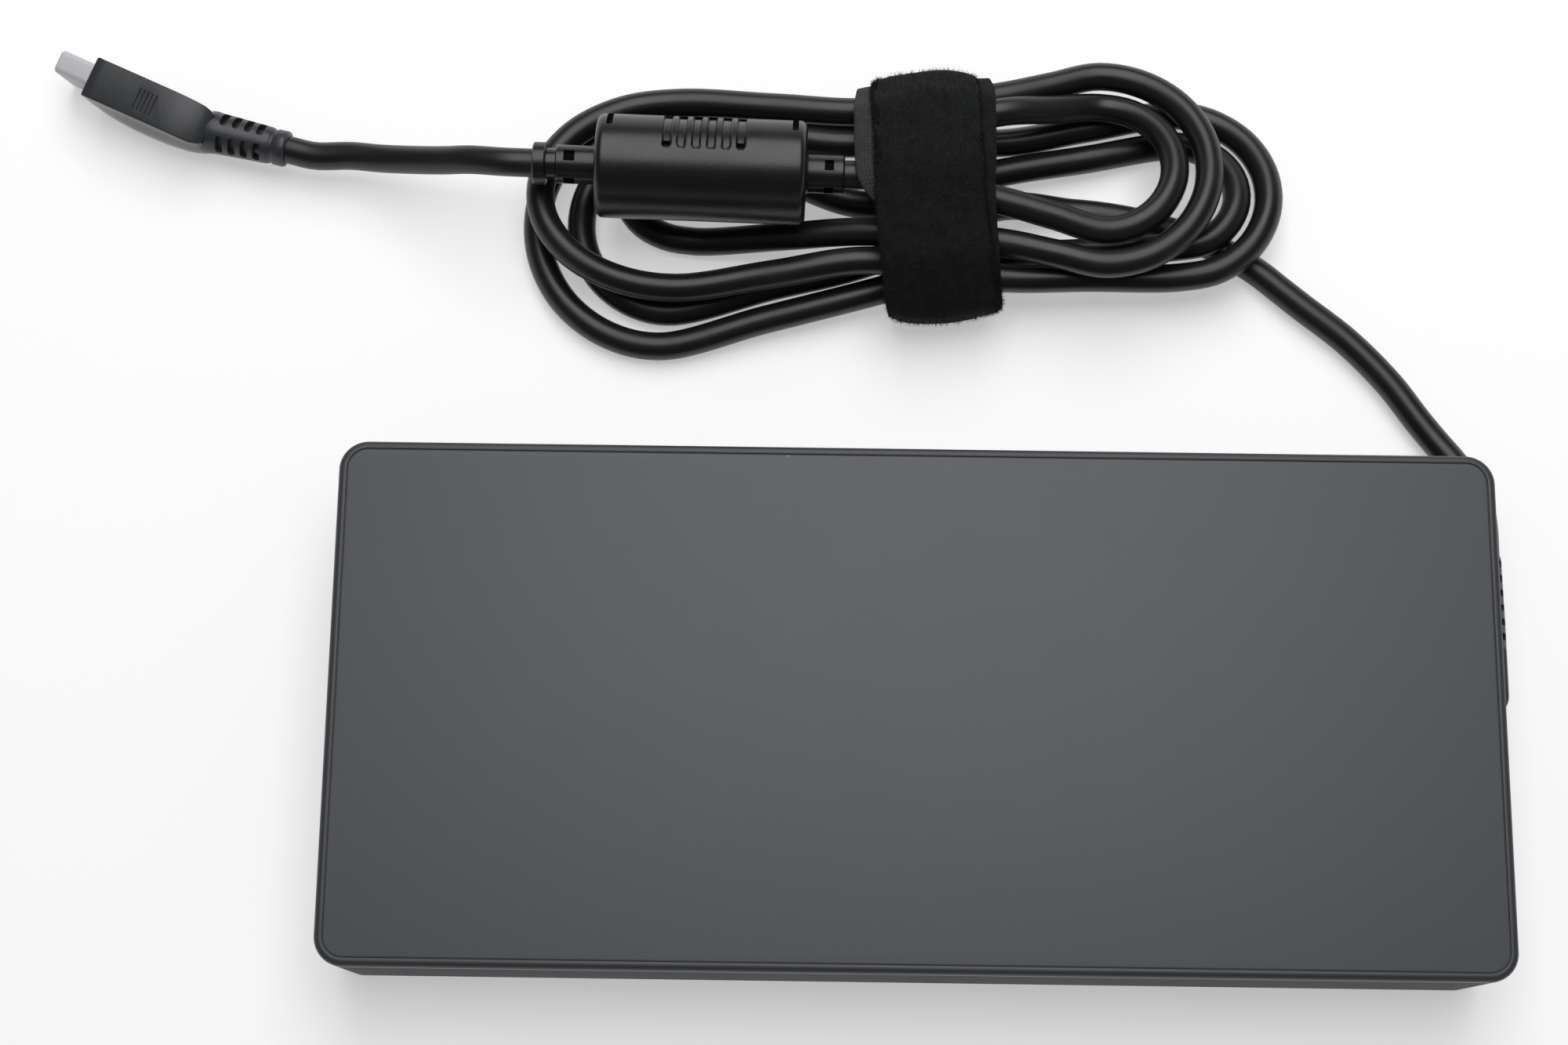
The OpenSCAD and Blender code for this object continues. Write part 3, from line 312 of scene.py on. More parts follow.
# The hank's half loops at its right and left ends, a row for two turns. Each pair of numbers is a
# value on the row's first turn and what the second turn adds to it: the loop's end, its near
# side, its far side, its height and how far it climbs. The last number is the bend's length over
# half its breadth.
RISE = 6.6
RIGHT_LOOPS = [[60.2, 5.9, 88.9, -6, 110.9, 6.2, 0, 0, 6, 0, 1],
               [54.2, -6.4, 83.1, 6.4, 121.9, -6.2, RISE, 0, 6, 0, 1]]
LEFT_LOOPS = [[61.5, 8.2, 76.9, -6.7, 110.8, 6.2, 0, 0, 0, 0, 1],
              [68.8, -15.6, 79.4, 11.3, 115.6, -6.1, RISE, -RISE, 0, RISE, 1.4]]
TURNS = 4
BEND_RINGS = 8
CLIMB_RIGHT, CLIMB_LEFT = (0, 130), (40, 170)  # degrees of the bend over which it climbs

# Where the runs cross the two edges of the waist: place across and height at the right edge,
# then at the left
WAIST = (-8, 16)
LOW, HIGH = 4.9, 10.8
PASSES = [[97.4, LOW, 86.2, LOW], [104.1, LOW, 97.5, LOW], [87.4, LOW, 80.2, LOW],
          [110.1, LOW, 112.2, LOW], [81.8, HIGH - 0.6, 84.55, HIGH + 0.2],
          [117, HIGH, 113.6, HIGH], [87.1, HIGH + 3.7, 90.25, HIGH - 0.15],
          [112.2, HIGH + 4.2, 107.5, HIGH], [94.5, 16.2, 98.3, 18]]
LAST_BEND = [-2, 97.9, 17.7]

CHOKE_AT = np.array([-38.7, 99.1, 18.0])
CHOKE_TURN = math.radians(-1.5)
CHOKE_ALONG = np.array([math.cos(CHOKE_TURN), math.sin(CHOKE_TURN), 0])
CHOKE_LENGTH, CHOKE_RADIUS, LEFT_NECK, RIGHT_NECK, NECK_RING = 38.0, 9.4, 10.0, 5.3, 1.6
CHOKE_RIGHT = CHOKE_AT + CHOKE_ALONG * (CHOKE_LENGTH / 2 + RIGHT_NECK + NECK_RING)
CHOKE_LEFT = CHOKE_AT - CHOKE_ALONG * (CHOKE_LENGTH / 2 + LEFT_NECK + NECK_RING)
IN_CHOKE = (25.9, 12, 0, -12, -30.6)  # points of the route along the choke, from its middle

# The plug leans over on the rounded lower edge of its grip
PLUG_LENGTH, PLUG_WIDTH, PLUG_HEIGHT, PLUG_EDGE = 24.0, 7.0, 12.0, 0.6
PLUG_LEAN, PLUG_TURN, RELIEF_TURN = math.radians(9), math.radians(-24), math.radians(11)
PLUG_AT = np.array([-152.4, 119.4, (PLUG_HEIGHT / 2 - PLUG_EDGE) * math.cos(PLUG_LEAN)
                    + (PLUG_WIDTH / 2 - PLUG_EDGE) * math.sin(PLUG_LEAN) + PLUG_EDGE])
PLUG_ALONG = np.array([math.cos(PLUG_TURN), math.sin(PLUG_TURN), 0])
RELIEF_LENGTH = 14.5
RELIEF_ALONG = np.array([math.cos(PLUG_TURN + RELIEF_TURN), math.sin(PLUG_TURN + RELIEF_TURN), 0])
RELIEF_START = PLUG_AT + PLUG_LENGTH * PLUG_ALONG
RELIEF_END = RELIEF_START + RELIEF_LENGTH * RELIEF_ALONG


def ease(t):
    """0 to 1 with a soft start and a soft end."""
    return t * t * (3 - 2 * t)


def bend(side, turn):
    """The half loop of a turn at the right end (side 1) or the left end (side -1)."""
    row = (RIGHT_LOOPS if side > 0 else LEFT_LOOPS)[turn // 2]
    end, near, far, low, climb = [row[i] + turn % 2 * row[i + 1] for i in range(0, 10, 2)]
    longer = row[10]
    radius = (far - near) / 2
    centre = side * (end - longer * radius)
    start, stop = CLIMB_RIGHT if side > 0 else CLIMB_LEFT
    out = []
    for i in range(BEND_RINGS):
        a = 180 * i / (BEND_RINGS - 1)
        risen = ease(min(max((a - start) / (stop - start), 0), 1))
        out.append([centre + side * longer * radius * math.sin(math.radians(a)),
                    (near + far) / 2 + side * radius * math.cos(math.radians(a)),
                    CORD / 2 + low + climb * risen])
    return out


def halfway(a, b):
    return [(a[0] + b[0]) / 2, (a[1] + b[1]) / 2, (a[2] + b[2]) / 2]


def at_right(i):
    """Where a run crosses the right edge of the waist."""
    return [WAIST[1], PASSES[i][0], PASSES[i][1]]


def at_left(i):
    """Where a run crosses the left edge of the waist."""
    return [WAIST[0], PASSES[i][2], PASSES[i][3]]


def hank_route():
    """From the lead into the hank, through its turns and out to the choke."""
    route = [HANK_ENTRY] + RUN_IN
    for turn in range(TURNS):
        left, right = bend(-1, turn), bend(1, turn)
        if turn:
            route.append(halfway(bend(1, turn - 1)[-1], at_right(2 * turn)))
        route += [at_right(2 * turn), at_left(2 * turn), halfway(left[0], at_left(2 * turn))]
        route += left
        route += [halfway(left[-1], at_left(2 * turn + 1)), at_left(2 * turn + 1),
                  at_right(2 * turn + 1), halfway(right[0], at_right(2 * turn + 1))]
        route += right
    route += [halfway(bend(1, TURNS - 1)[-1], at_right(2 * TURNS)), at_right(2 * TURNS),
              LAST_BEND, list(CHOKE_RIGHT + CORD * CHOKE_ALONG)]
    return route


def cord_route():
    """From inside the boot to inside the plug's strain relief."""
    route = [list(BOOT_TIP - np.array([0, HELD, 0])), list(BOOT_TIP),
             list(BOOT_TIP + np.array([0, CORD, 0]))] + LEAD
    route += hank_route()
    route += [list(CHOKE_AT + CHOKE_ALONG * s) for s in IN_CHOKE]
    route += [list(CHOKE_LEFT - CORD * CHOKE_ALONG)] + TAIL
    route += [list(RELIEF_END + CORD * RELIEF_ALONG), list(RELIEF_END),
              list(RELIEF_END - HELD * RELIEF_ALONG)]
    return route


cord_line, cord_length = smooth_route(cord_route(), ROUTE_STEP)
cord_line[:, 2] = np.maximum(cord_line[:, 2], CORD / 2)
cord = tube("dc_cord", cord_line, cord_length, CORD / 2, 24)


# ---- finishes: grain, depth and broad are in millimetres ----

def node(tree, kind, inputs=None, **settings):
    """Adds a shader node; an input is a value or another node's output."""
    made = tree.nodes.new(kind)
    for key, value in settings.items():
        setattr(made, key, value)
    for key, value in (inputs or {}).items():
        if isinstance(value, bpy.types.NodeSocket):
            tree.links.new(value, made.inputs[key])
        else:
            made.inputs[key].default_value = value
    return made


def grey(*rgb):
    """Linear colour from the usual 0 to 255 numbers."""
    out = []
    for c in rgb:
        c = c / 255
        out.append(c / 12.92 if c <= 0.04045 else ((c + 0.055) / 1.055) ** 2.4)
    return (*out, 1.0)


def scaled(colour, k):
    return (colour[0] * k, colour[1] * k, colour[2] * k, 1.0)


def new_finish(name, colour, roughness, metallic=0.0, specular=0.5):
    """A plain material, its nodes, its shader and the Object coordinates."""
    material = bpy.data.materials.new(name)
    material.use_nodes = True
    tree = material.node_tree
    shader = tree.nodes["Principled BSDF"]
    shader.inputs["Base Color"].default_value = colour
    shader.inputs["Roughness"].default_value = roughness
    shader.inputs["Metallic"].default_value = metallic
    shader.inputs["Specular IOR Level"].default_value = specular
    place = node(tree, "ShaderNodeTexCoord").outputs["Object"]
    return material, tree, shader, place


def noise(tree, vector, scale, detail=3.0, roughness=0.5):
    return node(tree, "ShaderNodeTexNoise", {"Vector": vector, "Scale": scale, "Detail": detail,
                                             "Roughness": roughness}).outputs["Fac"]


def maths(tree, operation, a, b):
    return node(tree, "ShaderNodeMath", {0: a, 1: b}, operation=operation).outputs[0]


def ranged(tree, value, low, high, to_low=0.0, to_high=1.0):
    return node(tree, "ShaderNodeMapRange", {"Value": value, "From Min": low, "From Max": high,
                                             "To Min": to_low, "To Max": to_high}).outputs[0]


def blended(tree, factor, low, high):
    """A colour between two colours or colour sockets."""
    return node(tree, "ShaderNodeMix", {0: factor, 6: low, 7: high},
                data_type="RGBA").outputs[2]


def bumped(tree, shader, height, strength, distance):
    """Adds relief; the distance is in millimetres."""
    bump = node(tree, "ShaderNodeBump", {"Height": height, "Strength": strength,
                                         "Distance": distance * MM})
    tree.links.new(bump.outputs[0], shader.inputs["Normal"])


def plastic(name, colour, roughness, grain=0.25, depth=0.02, mottle=0.06, broad=18.0,
            specular=0.5, uneven=0.03, specks=0.0):
    """Moulded plastic: fine spark grain, slow mottling and a little uneven sheen."""
    material, tree, shader, place = new_finish(name, colour, roughness, specular=specular)
    slow = noise(tree, place, 1000 / broad, 4.0, 0.6)
    fine = noise(tree, place, 1000 / grain, 2.0, 0.55)
    both = maths(tree, "ADD", slow, fine)
    shown = blended(tree, ranged(tree, both, 0.6, 1.4), scaled(colour, 1 - mottle),
                    scaled(colour, 1 + mottle))
    if specks:
        dots = node(tree, "ShaderNodeTexVoronoi", {"Vector": place, "Scale": 90.0})
        near = maths(tree, "LESS_THAN", dots.outputs["Distance"], 0.018)
        pick = node(tree, "ShaderNodeSeparateColor", {"Color": dots.outputs["Color"]}).outputs[0]
        chosen = maths(tree, "GREATER_THAN", pick, 1 - specks)
        shown = blended(tree, maths(tree, "MULTIPLY", near, chosen), shown, scaled(colour, 3.4))
    tree.links.new(shown, shader.inputs["Base Color"])
    tree.links.new(ranged(tree, slow, 0.3, 0.7, roughness - uneven, roughness + uneven),
                   shader.inputs["Roughness"])
    bumped(tree, shader, fine, 0.6, depth)
    return material


def jacket(name, colour, roughness):
    """Soft extruded jacket: faint lines along it, a waxy skin and small scuffs."""
    material, tree, shader, place = new_finish(name, colour, roughness)
    flat = node(tree, "ShaderNodeUVMap").outputs["UV"]
    drawn = node(tree, "ShaderNodeMapping", {"Vector": flat, "Scale": (26.0, 0.05, 1.0)})
    lines = noise(tree, drawn.outputs[0], 1.0, 2.0)
    skin = noise(tree, place, 2600.0, 2.0)
    slow = noise(tree, place, 70.0)
    shift = ranged(tree, slow, 0.3, 0.7)
    tree.links.new(blended(tree, shift, scaled(colour, 0.85), scaled(colour, 1.15)),
                   shader.inputs["Base Color"])
    tree.links.new(ranged(tree, slow, 0.3, 0.7, roughness - 0.04, roughness + 0.05),
                   shader.inputs["Roughness"])
    bumped(tree, shader, maths(tree, "ADD", lines, skin), 0.5, 0.02)
    return material


def velvet(name, colour):
    """Brushed loop pile: short soft fibres with a pale bloom at grazing angles."""
    material, tree, shader, place = new_finish(name, colour, 0.9, specular=0.2)
    shader.inputs["Sheen Weight"].default_value = 0.1
    shader.inputs["Sheen Roughness"].default_value = 0.45
    shader.inputs["Sheen Tint"].default_value = grey(150, 155, 160)
    pile = noise(tree, place, 3200.0, 4.0, 0.7)
    tufts = noise(tree, place, 420.0, 5.0, 0.65)
    height = maths(tree, "ADD", pile, tufts)
    shown = blended(tree, ranged(tree, height, 0.7, 1.3), scaled(colour, 0.5),
                    scaled(colour, 1.8))
    flecks = ranged(tree, noise(tree, place, 2300.0, 2.0), 0.6, 0.72, 0.0, 0.6)
    tree.links.new(blended(tree, flecks, shown, scaled(colour, 4.2)), shader.inputs["Base Color"])
    bumped(tree, shader, height, 0.9, 0.15)
    return material


def hook_tape(name, colour):
    """Woven tape under small stiff hooks, in rows across it."""
    material, tree, shader, place = new_finish(name, colour, 0.7, specular=0.35)
    flat = node(tree, "ShaderNodeUVMap").outputs["UV"]
    rows, columns = [node(tree, "ShaderNodeTexWave",
                          {"Vector": flat, "Scale": scale, "Distortion": 0.8, "Detail": 2.0,
                           "Detail Scale": 1.5},
                          wave_type="BANDS", bands_direction=way).outputs["Fac"]
                     for way, scale in (("X", 0.45), ("Y", 0.5))]
    hooks = maths(tree, "MULTIPLY", rows, columns)
    shown = ranged(tree, maths(tree, "ADD", hooks, noise(tree, place, 900.0)), 0.35, 1.2)
    tree.links.new(blended(tree, shown, scaled(colour, 0.45), scaled(colour, 1.5)),
                   shader.inputs["Base Color"])
    bumped(tree, shader, hooks, 0.8, 0.15)
    return material


def metal(name, colour, roughness, metallic=1.0):
    """Plated or drawn metal with a fine grain."""
    material, tree, shader, place = new_finish(name, colour, roughness, metallic)
    stretch = node(tree, "ShaderNodeMapping", {"Vector": place, "Scale": (1.0, 1.0, 9.0)})
    grain = noise(tree, stretch.outputs[0], 900.0)
    tree.links.new(ranged(tree, grain, 0.0, 1.0, roughness - 0.08, roughness + 0.08),
                   shader.inputs["Roughness"])
    tree.links.new(blended(tree, grain, scaled(colour, 0.92), scaled(colour, 1.06)),
                   shader.inputs["Base Color"])
    bumped(tree, shader, grain, 0.3, 0.01)
    return material


case_finish = plastic("case plastic", grey(71, 73, 78), 0.42, 0.3, 0.02, 0.05, 14.0,
                      uneven=0.012, specks=0.12)
# A darker copy of the case plastic for the cover's border band, rounded edge and side walls. On
# the side walls the darker colour is painted shade for walls that face the dark room.
darker_border_and_wall_shade_finish = plastic("darker border and wall shade plastic", grey(55, 57, 61), 0.42, 0.3, 0.02, 0.05, 14.0,
                       uneven=0.012)
# The tray's plastic is rougher and less shiny than the cover's, and darker in colour. The darker
# colour is painted shade for the tray's side walls, which face the dark room.
tray_painted_shade_finish = plastic("tray plastic with painted shade", grey(58, 60, 64), 0.6, 0.3, 0.02, 0.05, 14.0,
                      specular=0.3, uneven=0.012)
boot_finish = plastic("boot plastic", grey(62, 64, 68), 0.46, 0.4, 0.03, 0.06, 10.0)
choke_finish = plastic("choke plastic", grey(18, 18, 19), 0.32, 0.5, 0.03, 0.1, 6.0)
# Near-black matte finish for the insides of the choke's neck windows: painted shade standing in
# for the dark inside these holes.
window_painted_shade_finish = plastic("shaded recess", grey(9, 9, 10), 0.9, 0.5, 0.02, 0.05, 6.0, specular=0.1)
plug_finish = plastic("plug plastic", grey(50, 52, 56), 0.38, 0.35, 0.03, 0.1, 5.0)
# The grip's broad sides are glossier than its top, and their lighter grey is painted light for the
# bright reflection that the near side shows.
plug_side_painted_light_finish = plastic("smooth plug plastic painted lighter", grey(58, 60, 64), 0.24, 0.35, 0.01, 0.04, 5.0,
                           specular=0.85)
cord_finish = jacket("cord jacket", grey(22, 23, 25), 0.36)
velvet_finish = velvet("loop pile", grey(20, 21, 22))
hook_finish = hook_tape("hook tape", grey(50, 51, 54))
dark_plastic = plastic("dark plastic", grey(32, 33, 35), 0.45, 0.4, 0.02, 0.06, 8.0)
board_finish = plastic("board", grey(40, 92, 54), 0.45, 0.8, 0.02, 0.1, 8.0)
ferrite_finish = plastic("ferrite", grey(52, 54, 57), 0.6, 0.3, 0.04, 0.1, 6.0)
yellow_finish = plastic("yellow tape", grey(205, 170, 50), 0.45, 0.6, 0.02, 0.06, 10.0)
blue_finish = plastic("blue coating", grey(46, 88, 150), 0.35, 0.8, 0.03, 0.08, 5.0)
red_finish = plastic("red coating", grey(165, 60, 44), 0.35, 0.8, 0.03, 0.08, 5.0)
sleeve_finish = plastic("capacitor sleeve", grey(36, 40, 52), 0.3, 1.0, 0.01, 0.05, 12.0)
sheet_finish = plastic("insulating sheet", grey(222, 218, 204), 0.4, 0.9, 0.02, 0.05, 20.0)
pad_finish = plastic("thermal pad", grey(150, 152, 158), 0.7, 0.5, 0.03, 0.08, 6.0)
wire_finish = plastic("wire jacket", grey(120, 78, 52), 0.4, 0.8, 0.02, 0.06, 6.0)
tip_finish = metal("satin nickel", grey(214, 213, 218), 0.6, 0.3)
blade_finish = metal("plated brass", grey(205, 202, 194), 0.3)
brass_finish = metal("brass", grey(206, 170, 92), 0.3)
copper_finish = metal("copper", grey(190, 120, 70), 0.35)
aluminium_finish = metal("aluminium", grey(190, 192, 195), 0.4)
steel_finish = metal("steel", grey(170, 172, 176), 0.35)

ride(cord, cord_finish, "cord_jacket", "dc_cord_lead", "dc_cord_hank", "dc_cord_in_choke",
     "dc_cord_tail")


# ---- case ----

CASE_X, CASE_Y, CORNER, JOINT_Z, CASE_TOP = 100.0, 45.0, 5.0, 24.0, 27.0
BORDER = 1.46  # how far the darker border reaches in from the outline
TONGUE = 0.5  # how far the tray reaches up into the cover
INLET_Z, INLET_W, INLET_H = 12.5, 28.3, 20.3


def inset(x, y):
    """How far a place lies inside the outline of the case."""
    past_x, past_y = abs(x) - CASE_X + CORNER, abs(y) - CASE_Y + CORNER
    if min(past_x, past_y) > 0:
        return CORNER - math.hypot(past_x, past_y)
    return CORNER - max(past_x, past_y)


def make_cover():
    """The cover: a darker border, a narrow groove and a flat panel with a chamfered edge."""
    bm = block((-CASE_X, -CASE_Y, JOINT_Z), (CASE_X, CASE_Y, CASE_TOP))
    bevelled(bm, along(bm, 2), CORNER, 14)
    bevelled(bm, level(bm, 2, CASE_TOP), 1.0, 8)
    bevelled(bm, level(bm, 2, JOINT_Z), 0.12, 3)
    stepped(bm, facing(bm, 2, CASE_TOP), [
        (0.34, 0), (0.06, -0.03), (0.01, -0.22), (0.08, 0), (0.01, 0.12), (0.16, 0.11),
        (0.06, 0.014), (0.06, 0.006)])
    stepped(bm, facing(bm, 2, JOINT_Z), [(2.25, 0), (0, 2.5), (1.2, 0), (0, -3.5)])
    cover = ride(finished(bm, "case_cover", 34), case_finish, "case_plastic", "top_cover")
    # The border band, rounded edge and side walls take the darker plastic; on the walls it is
    # painted shade.
    return second_finish(cover, darker_border_and_wall_shade_finish, lambda face: inset(face.center.x / MM,
                                                                 face.center.y / MM) < BORDER)


def make_tray():
    """The tray, with its tongue up into the cover and the hole for the inlet."""
    rim = JOINT_Z - TONGUE
    bm = block((-CASE_X, -CASE_Y, 0), (CASE_X, CASE_Y, rim))
    bevelled(bm, along(bm, 2), CORNER, 14)
    bevelled(bm, level(bm, 2, 0), 1.5, 8)
    bevelled(bm, level(bm, 2, rim), 0.12, 3)
    stepped(bm, facing(bm, 2, rim), [(0.38, 0), (0, TONGUE), (1.7, 0), (0, -22)])
    tray = finished(bm, "case_tray", 34)
    half_w, half_h = INLET_W / 2, INLET_H / 2
    hole = finished(block((-CASE_X - 3, -half_w, INLET_Z - half_h),
                          (-CASE_X + 4, half_w, INLET_Z + half_h)), "inlet_hole")
    # The tray takes the darker plastic, whose colour is painted shade on its walls.
    return ride(cut(tray, [hole], 34), tray_painted_shade_finish, "case_plastic", "bottom_tray")


make_cover()
make_tray()


# ---- cord exit ----

def slot_cutter(at, angle, radius, depth, width, length):
    """A rounded slot: its middle lies `at` along Z, `width` along Z and `length` round the
    sleeve, sunk `depth` below `radius`."""
    bm = block((radius - depth, -length / 2, at - width / 2),
               (radius + 2, length / 2, at + width / 2))
    bevelled(bm, along(bm, 0), width * 0.49, 5)
    return move(finished(bm, "slot"), Matrix.Rotation(angle, 4, "Z"))


def make_boot():
    """The cord's exit: a block on the end wall and the slotted sleeve that it holds."""
    r, core, tip_z, hollow_from = 3.0, 1.0, 16.5, 10.6
    sleeve = finished(spun([(0.0, core), (0.0, r), (4.0, r), (tip_z - 0.6, r - 0.17),
                            (tip_z - 0.2, r - 0.24), (tip_z, r - 0.33), (tip_z, CORD_BORE),
                            (hollow_from, CORD_BORE), (hollow_from, core)], 48), "sleeve")
    slots = [slot_cutter(1.7 + 2.65 * i, math.radians(45 + 90 * q), r - 0.01 * i, 0.95, 1.2, 2.6)
             for i in range(6) for q in range(4)]
    cut(sleeve, slots)
    move(sleeve, turned((0, 1, 0), BOOT_TIP - np.array([0, tip_z, 0])))
    bm = bmesh.new()
    base = bm.faces.new([bm.verts.new((CASE_X + x, 2.5 + y, BOOT_TIP[2] - r - 0.4)) for x, y in
                         ((0.05, 0), (4.1, 0), (5.4, 2.6), (5.4, 12.5), (0.05, 12.5))])
    raised = bmesh.ops.extrude_face_region(bm, geom=[base], use_keep_orig=True)["geom"]
    bmesh.ops.translate(bm, vec=(0, 0, 2 * r + 0.8),
                        verts=[g for g in raised if isinstance(g, bmesh.types.BMVert)])
    bevelled(bm, [e for e in bm.edges if max(v.co.x for v in e.verts) > CASE_X + 0.6], 0.8, 5)
    boot = joined("cord_boot", [sleeve, finished(bm, "shell", 40)], 40)
    return ride(boot, boot_finish, "soft_plastic", "exit_boot")


boot = make_boot()


# ---- choke ----

# Places along the cover are from its middle. Round it, up is 180 degrees and the far side 90.
GRIP_COUNT, GRIP_PITCH, GRIP_MIDDLE, GRIP_WIDTH, GRIP_DEPTH = 6, 2.66, 0.5, 1.75, 0.55
GRIP_ENDS = (math.radians(84), math.radians(178))
PARTING, PARTING_HALF, PARTING_DEPTH = math.radians(214), 0.022, 0.07
HOLES_AT, NOTCHES_AT, WINDOWS_AT = 172.5, 131, 172


def gripped(z, angle, radius):
    """The cover's radius at a place: six rounded grooves over its far upper side and a parting
    line low on its near side."""
    nearest = round((z - GRIP_MIDDLE) / GRIP_PITCH + (GRIP_COUNT - 1) / 2)
    nearest = min(max(nearest, 0), GRIP_COUNT - 1) - (GRIP_COUNT - 1) / 2
    aside = z - GRIP_MIDDLE - nearest * GRIP_PITCH
    round_by = GRIP_WIDTH / 2
    past = max(radius * (angle - GRIP_ENDS[1]) + round_by,
               radius * (GRIP_ENDS[0] - angle) + round_by, 0)
    inside = round_by - math.hypot(aside, past)
    if inside > 0:
        return radius - GRIP_DEPTH * ease(min(inside / 0.3, 1))
    if abs(angle - PARTING) < PARTING_HALF:
        return radius - PARTING_DEPTH
    return radius


def make_choke():
    """The cover moulded round the ferrite, with a short necked sleeve at each end."""
    half, r, soft = CHOKE_LENGTH / 2, CHOKE_RADIUS, 1.4
    left, right = -half - LEFT_NECK, half + RIGHT_NECK
    neck, bore = 3.5, CORD_BORE
    corner = [(soft - soft * math.cos(math.radians(a)), soft * math.sin(math.radians(a)))
              for a in range(0, 91, 10)]
    outline = [(left - NECK_RING, bore), (left - NECK_RING, neck + 0.1),
               (left - NECK_RING + 0.25, neck + 0.35), (left + 0.55, neck + 0.35),
               (left + 0.8, neck + 0.1), (left + 0.8, 2.8), (left + 2.6, 2.8),
               (left + 2.6, neck - 0.2), (left + 2.8, neck), (-half - 0.3, neck),
               (-half, neck + 0.3)]
    outline += [(-half + z, r - soft + up) for z, up in corner]
    outline += [(z, r) for z in np.arange(-half + soft + 0.18, half - soft - 0.01, 0.18)]
    outline += [(half - z, r - soft + up) for z, up in corner[::-1]]
    outline += [(half, neck + 0.3), (half + 0.3, neck), (right + NECK_RING - 0.3, neck),
                (right + NECK_RING, neck - 0.3), (right + NECK_RING, bore)]
    bm = spun(outline, 200)
    for v in bm.verts:
        out = math.hypot(v.co.x, v.co.y)
        if abs(out - r) < 10 * NEARLY:
            k = gripped(v.co.z, math.atan2(v.co.y, v.co.x) % math.tau, r) / out
            v.co.x, v.co.y = v.co.x * k, v.co.y * k
    choke = finished(bm, "choke_shell", 42)

    def hole(low, high, angle, round_by=0.0):
        """A cutter, turned round the cover by an angle."""
        bm = block(low, high)
        if round_by:
            bevelled(bm, along(bm, 0), round_by, 2)
        return move(finished(bm, "hole"), Matrix.Rotation(math.radians(angle), 4, "Z"))
    holes = [hole((r - 1.9, -0.75, z - 0.68), (r + 1, 0.75, z + 0.68), HOLES_AT, 0.2)
             for z in (GRIP_MIDDLE - 2.5 * GRIP_PITCH, GRIP_MIDDLE + 2.5 * GRIP_PITCH)]
    holes += [hole((r - 1.6, -2.8, z - 0.55), (r + 1, 2.8, z + 0.55), NOTCHES_AT, 0.3)
              for z in (-half + 2.4, half - 2.2)]
    windows = ((-half - 4.9, 1.0), (half + 4.1, 0.83))
    holes += [hole((neck - 0.85, -1.05, z - wide), (neck + 1, 1.05, z + wide),
                   WINDOWS_AT + 90 * quarter) for z, wide in windows for quarter in range(4)]
    cut(choke, holes, 42)
    # The faces inside the neck windows get the near-black finish: painted shade for the holes'
    # dark insides.
    shaded = {face.index for face in choke.data.polygons
              if math.hypot(face.center.x, face.center.y) < (neck - 0.02) * MM
              and any(abs(face.center.z / MM - z) < wide + 0.01 for z, wide in windows)}
    # Local Z lies along the cord, local -X is up and local Y is the far side
    ahead, up = Vector(CHOKE_ALONG), Vector((0, 0, 1))
    m = Matrix((-up, up.cross(ahead), ahead)).transposed().to_4x4()
    m.translation = Vector(CHOKE_AT)
    ride(move(choke, m), choke_finish, "soft_plastic", "choke_cover")
    # The window insides take the painted shade finish.
    return second_finish(choke, window_painted_shade_finish, lambda face: face.index in shaded)


choke = make_choke()


# ---- plug ----

TIP_LENGTH, TIP_INSIDE, TIP_HALF_Y, TIP_HALF_Z = 7.0, 9.0, 2.2, 5.5
SOCKET_FIT = 0.05


def plug_matrix():
    """From the plug's own place, with X along it from the grip's front, to the table."""
    m = Matrix.Rotation(PLUG_TURN, 4, "Z") @ Matrix.Rotation(PLUG_LEAN, 4, "X")
    m.translation = Vector(PLUG_AT)
    return m


PLUG_FULLER = 0.8  # how much the grip is fuller on its near side
# From its front: how far its broad and its narrow sides draw in, and how far its near side swells
PLUG_SHAPE = [(0.0, 0.25, 0.25, 0), (0.12, 0.08, 0.08, 0), (0.3, 0, 0, 0.05), (2, 0, 0, 0.4),
              (4, 0, 0, 0.75), (6.5, 0, 0, 1.05), (9.5, 0, 0, 1.25), (13, 0, 0, 1.3),
              (16, 0, 0.06, 1.2), (18.4, 0.02, 0.25, 1.0), (20.4, 0.05, 0.7, 0.85),
              (22.2, 0.15, 1.3, 0.6), (23.4, 0.5, 1.9, 0.3), (24.0, 0.9, 2.4, 0.1)]


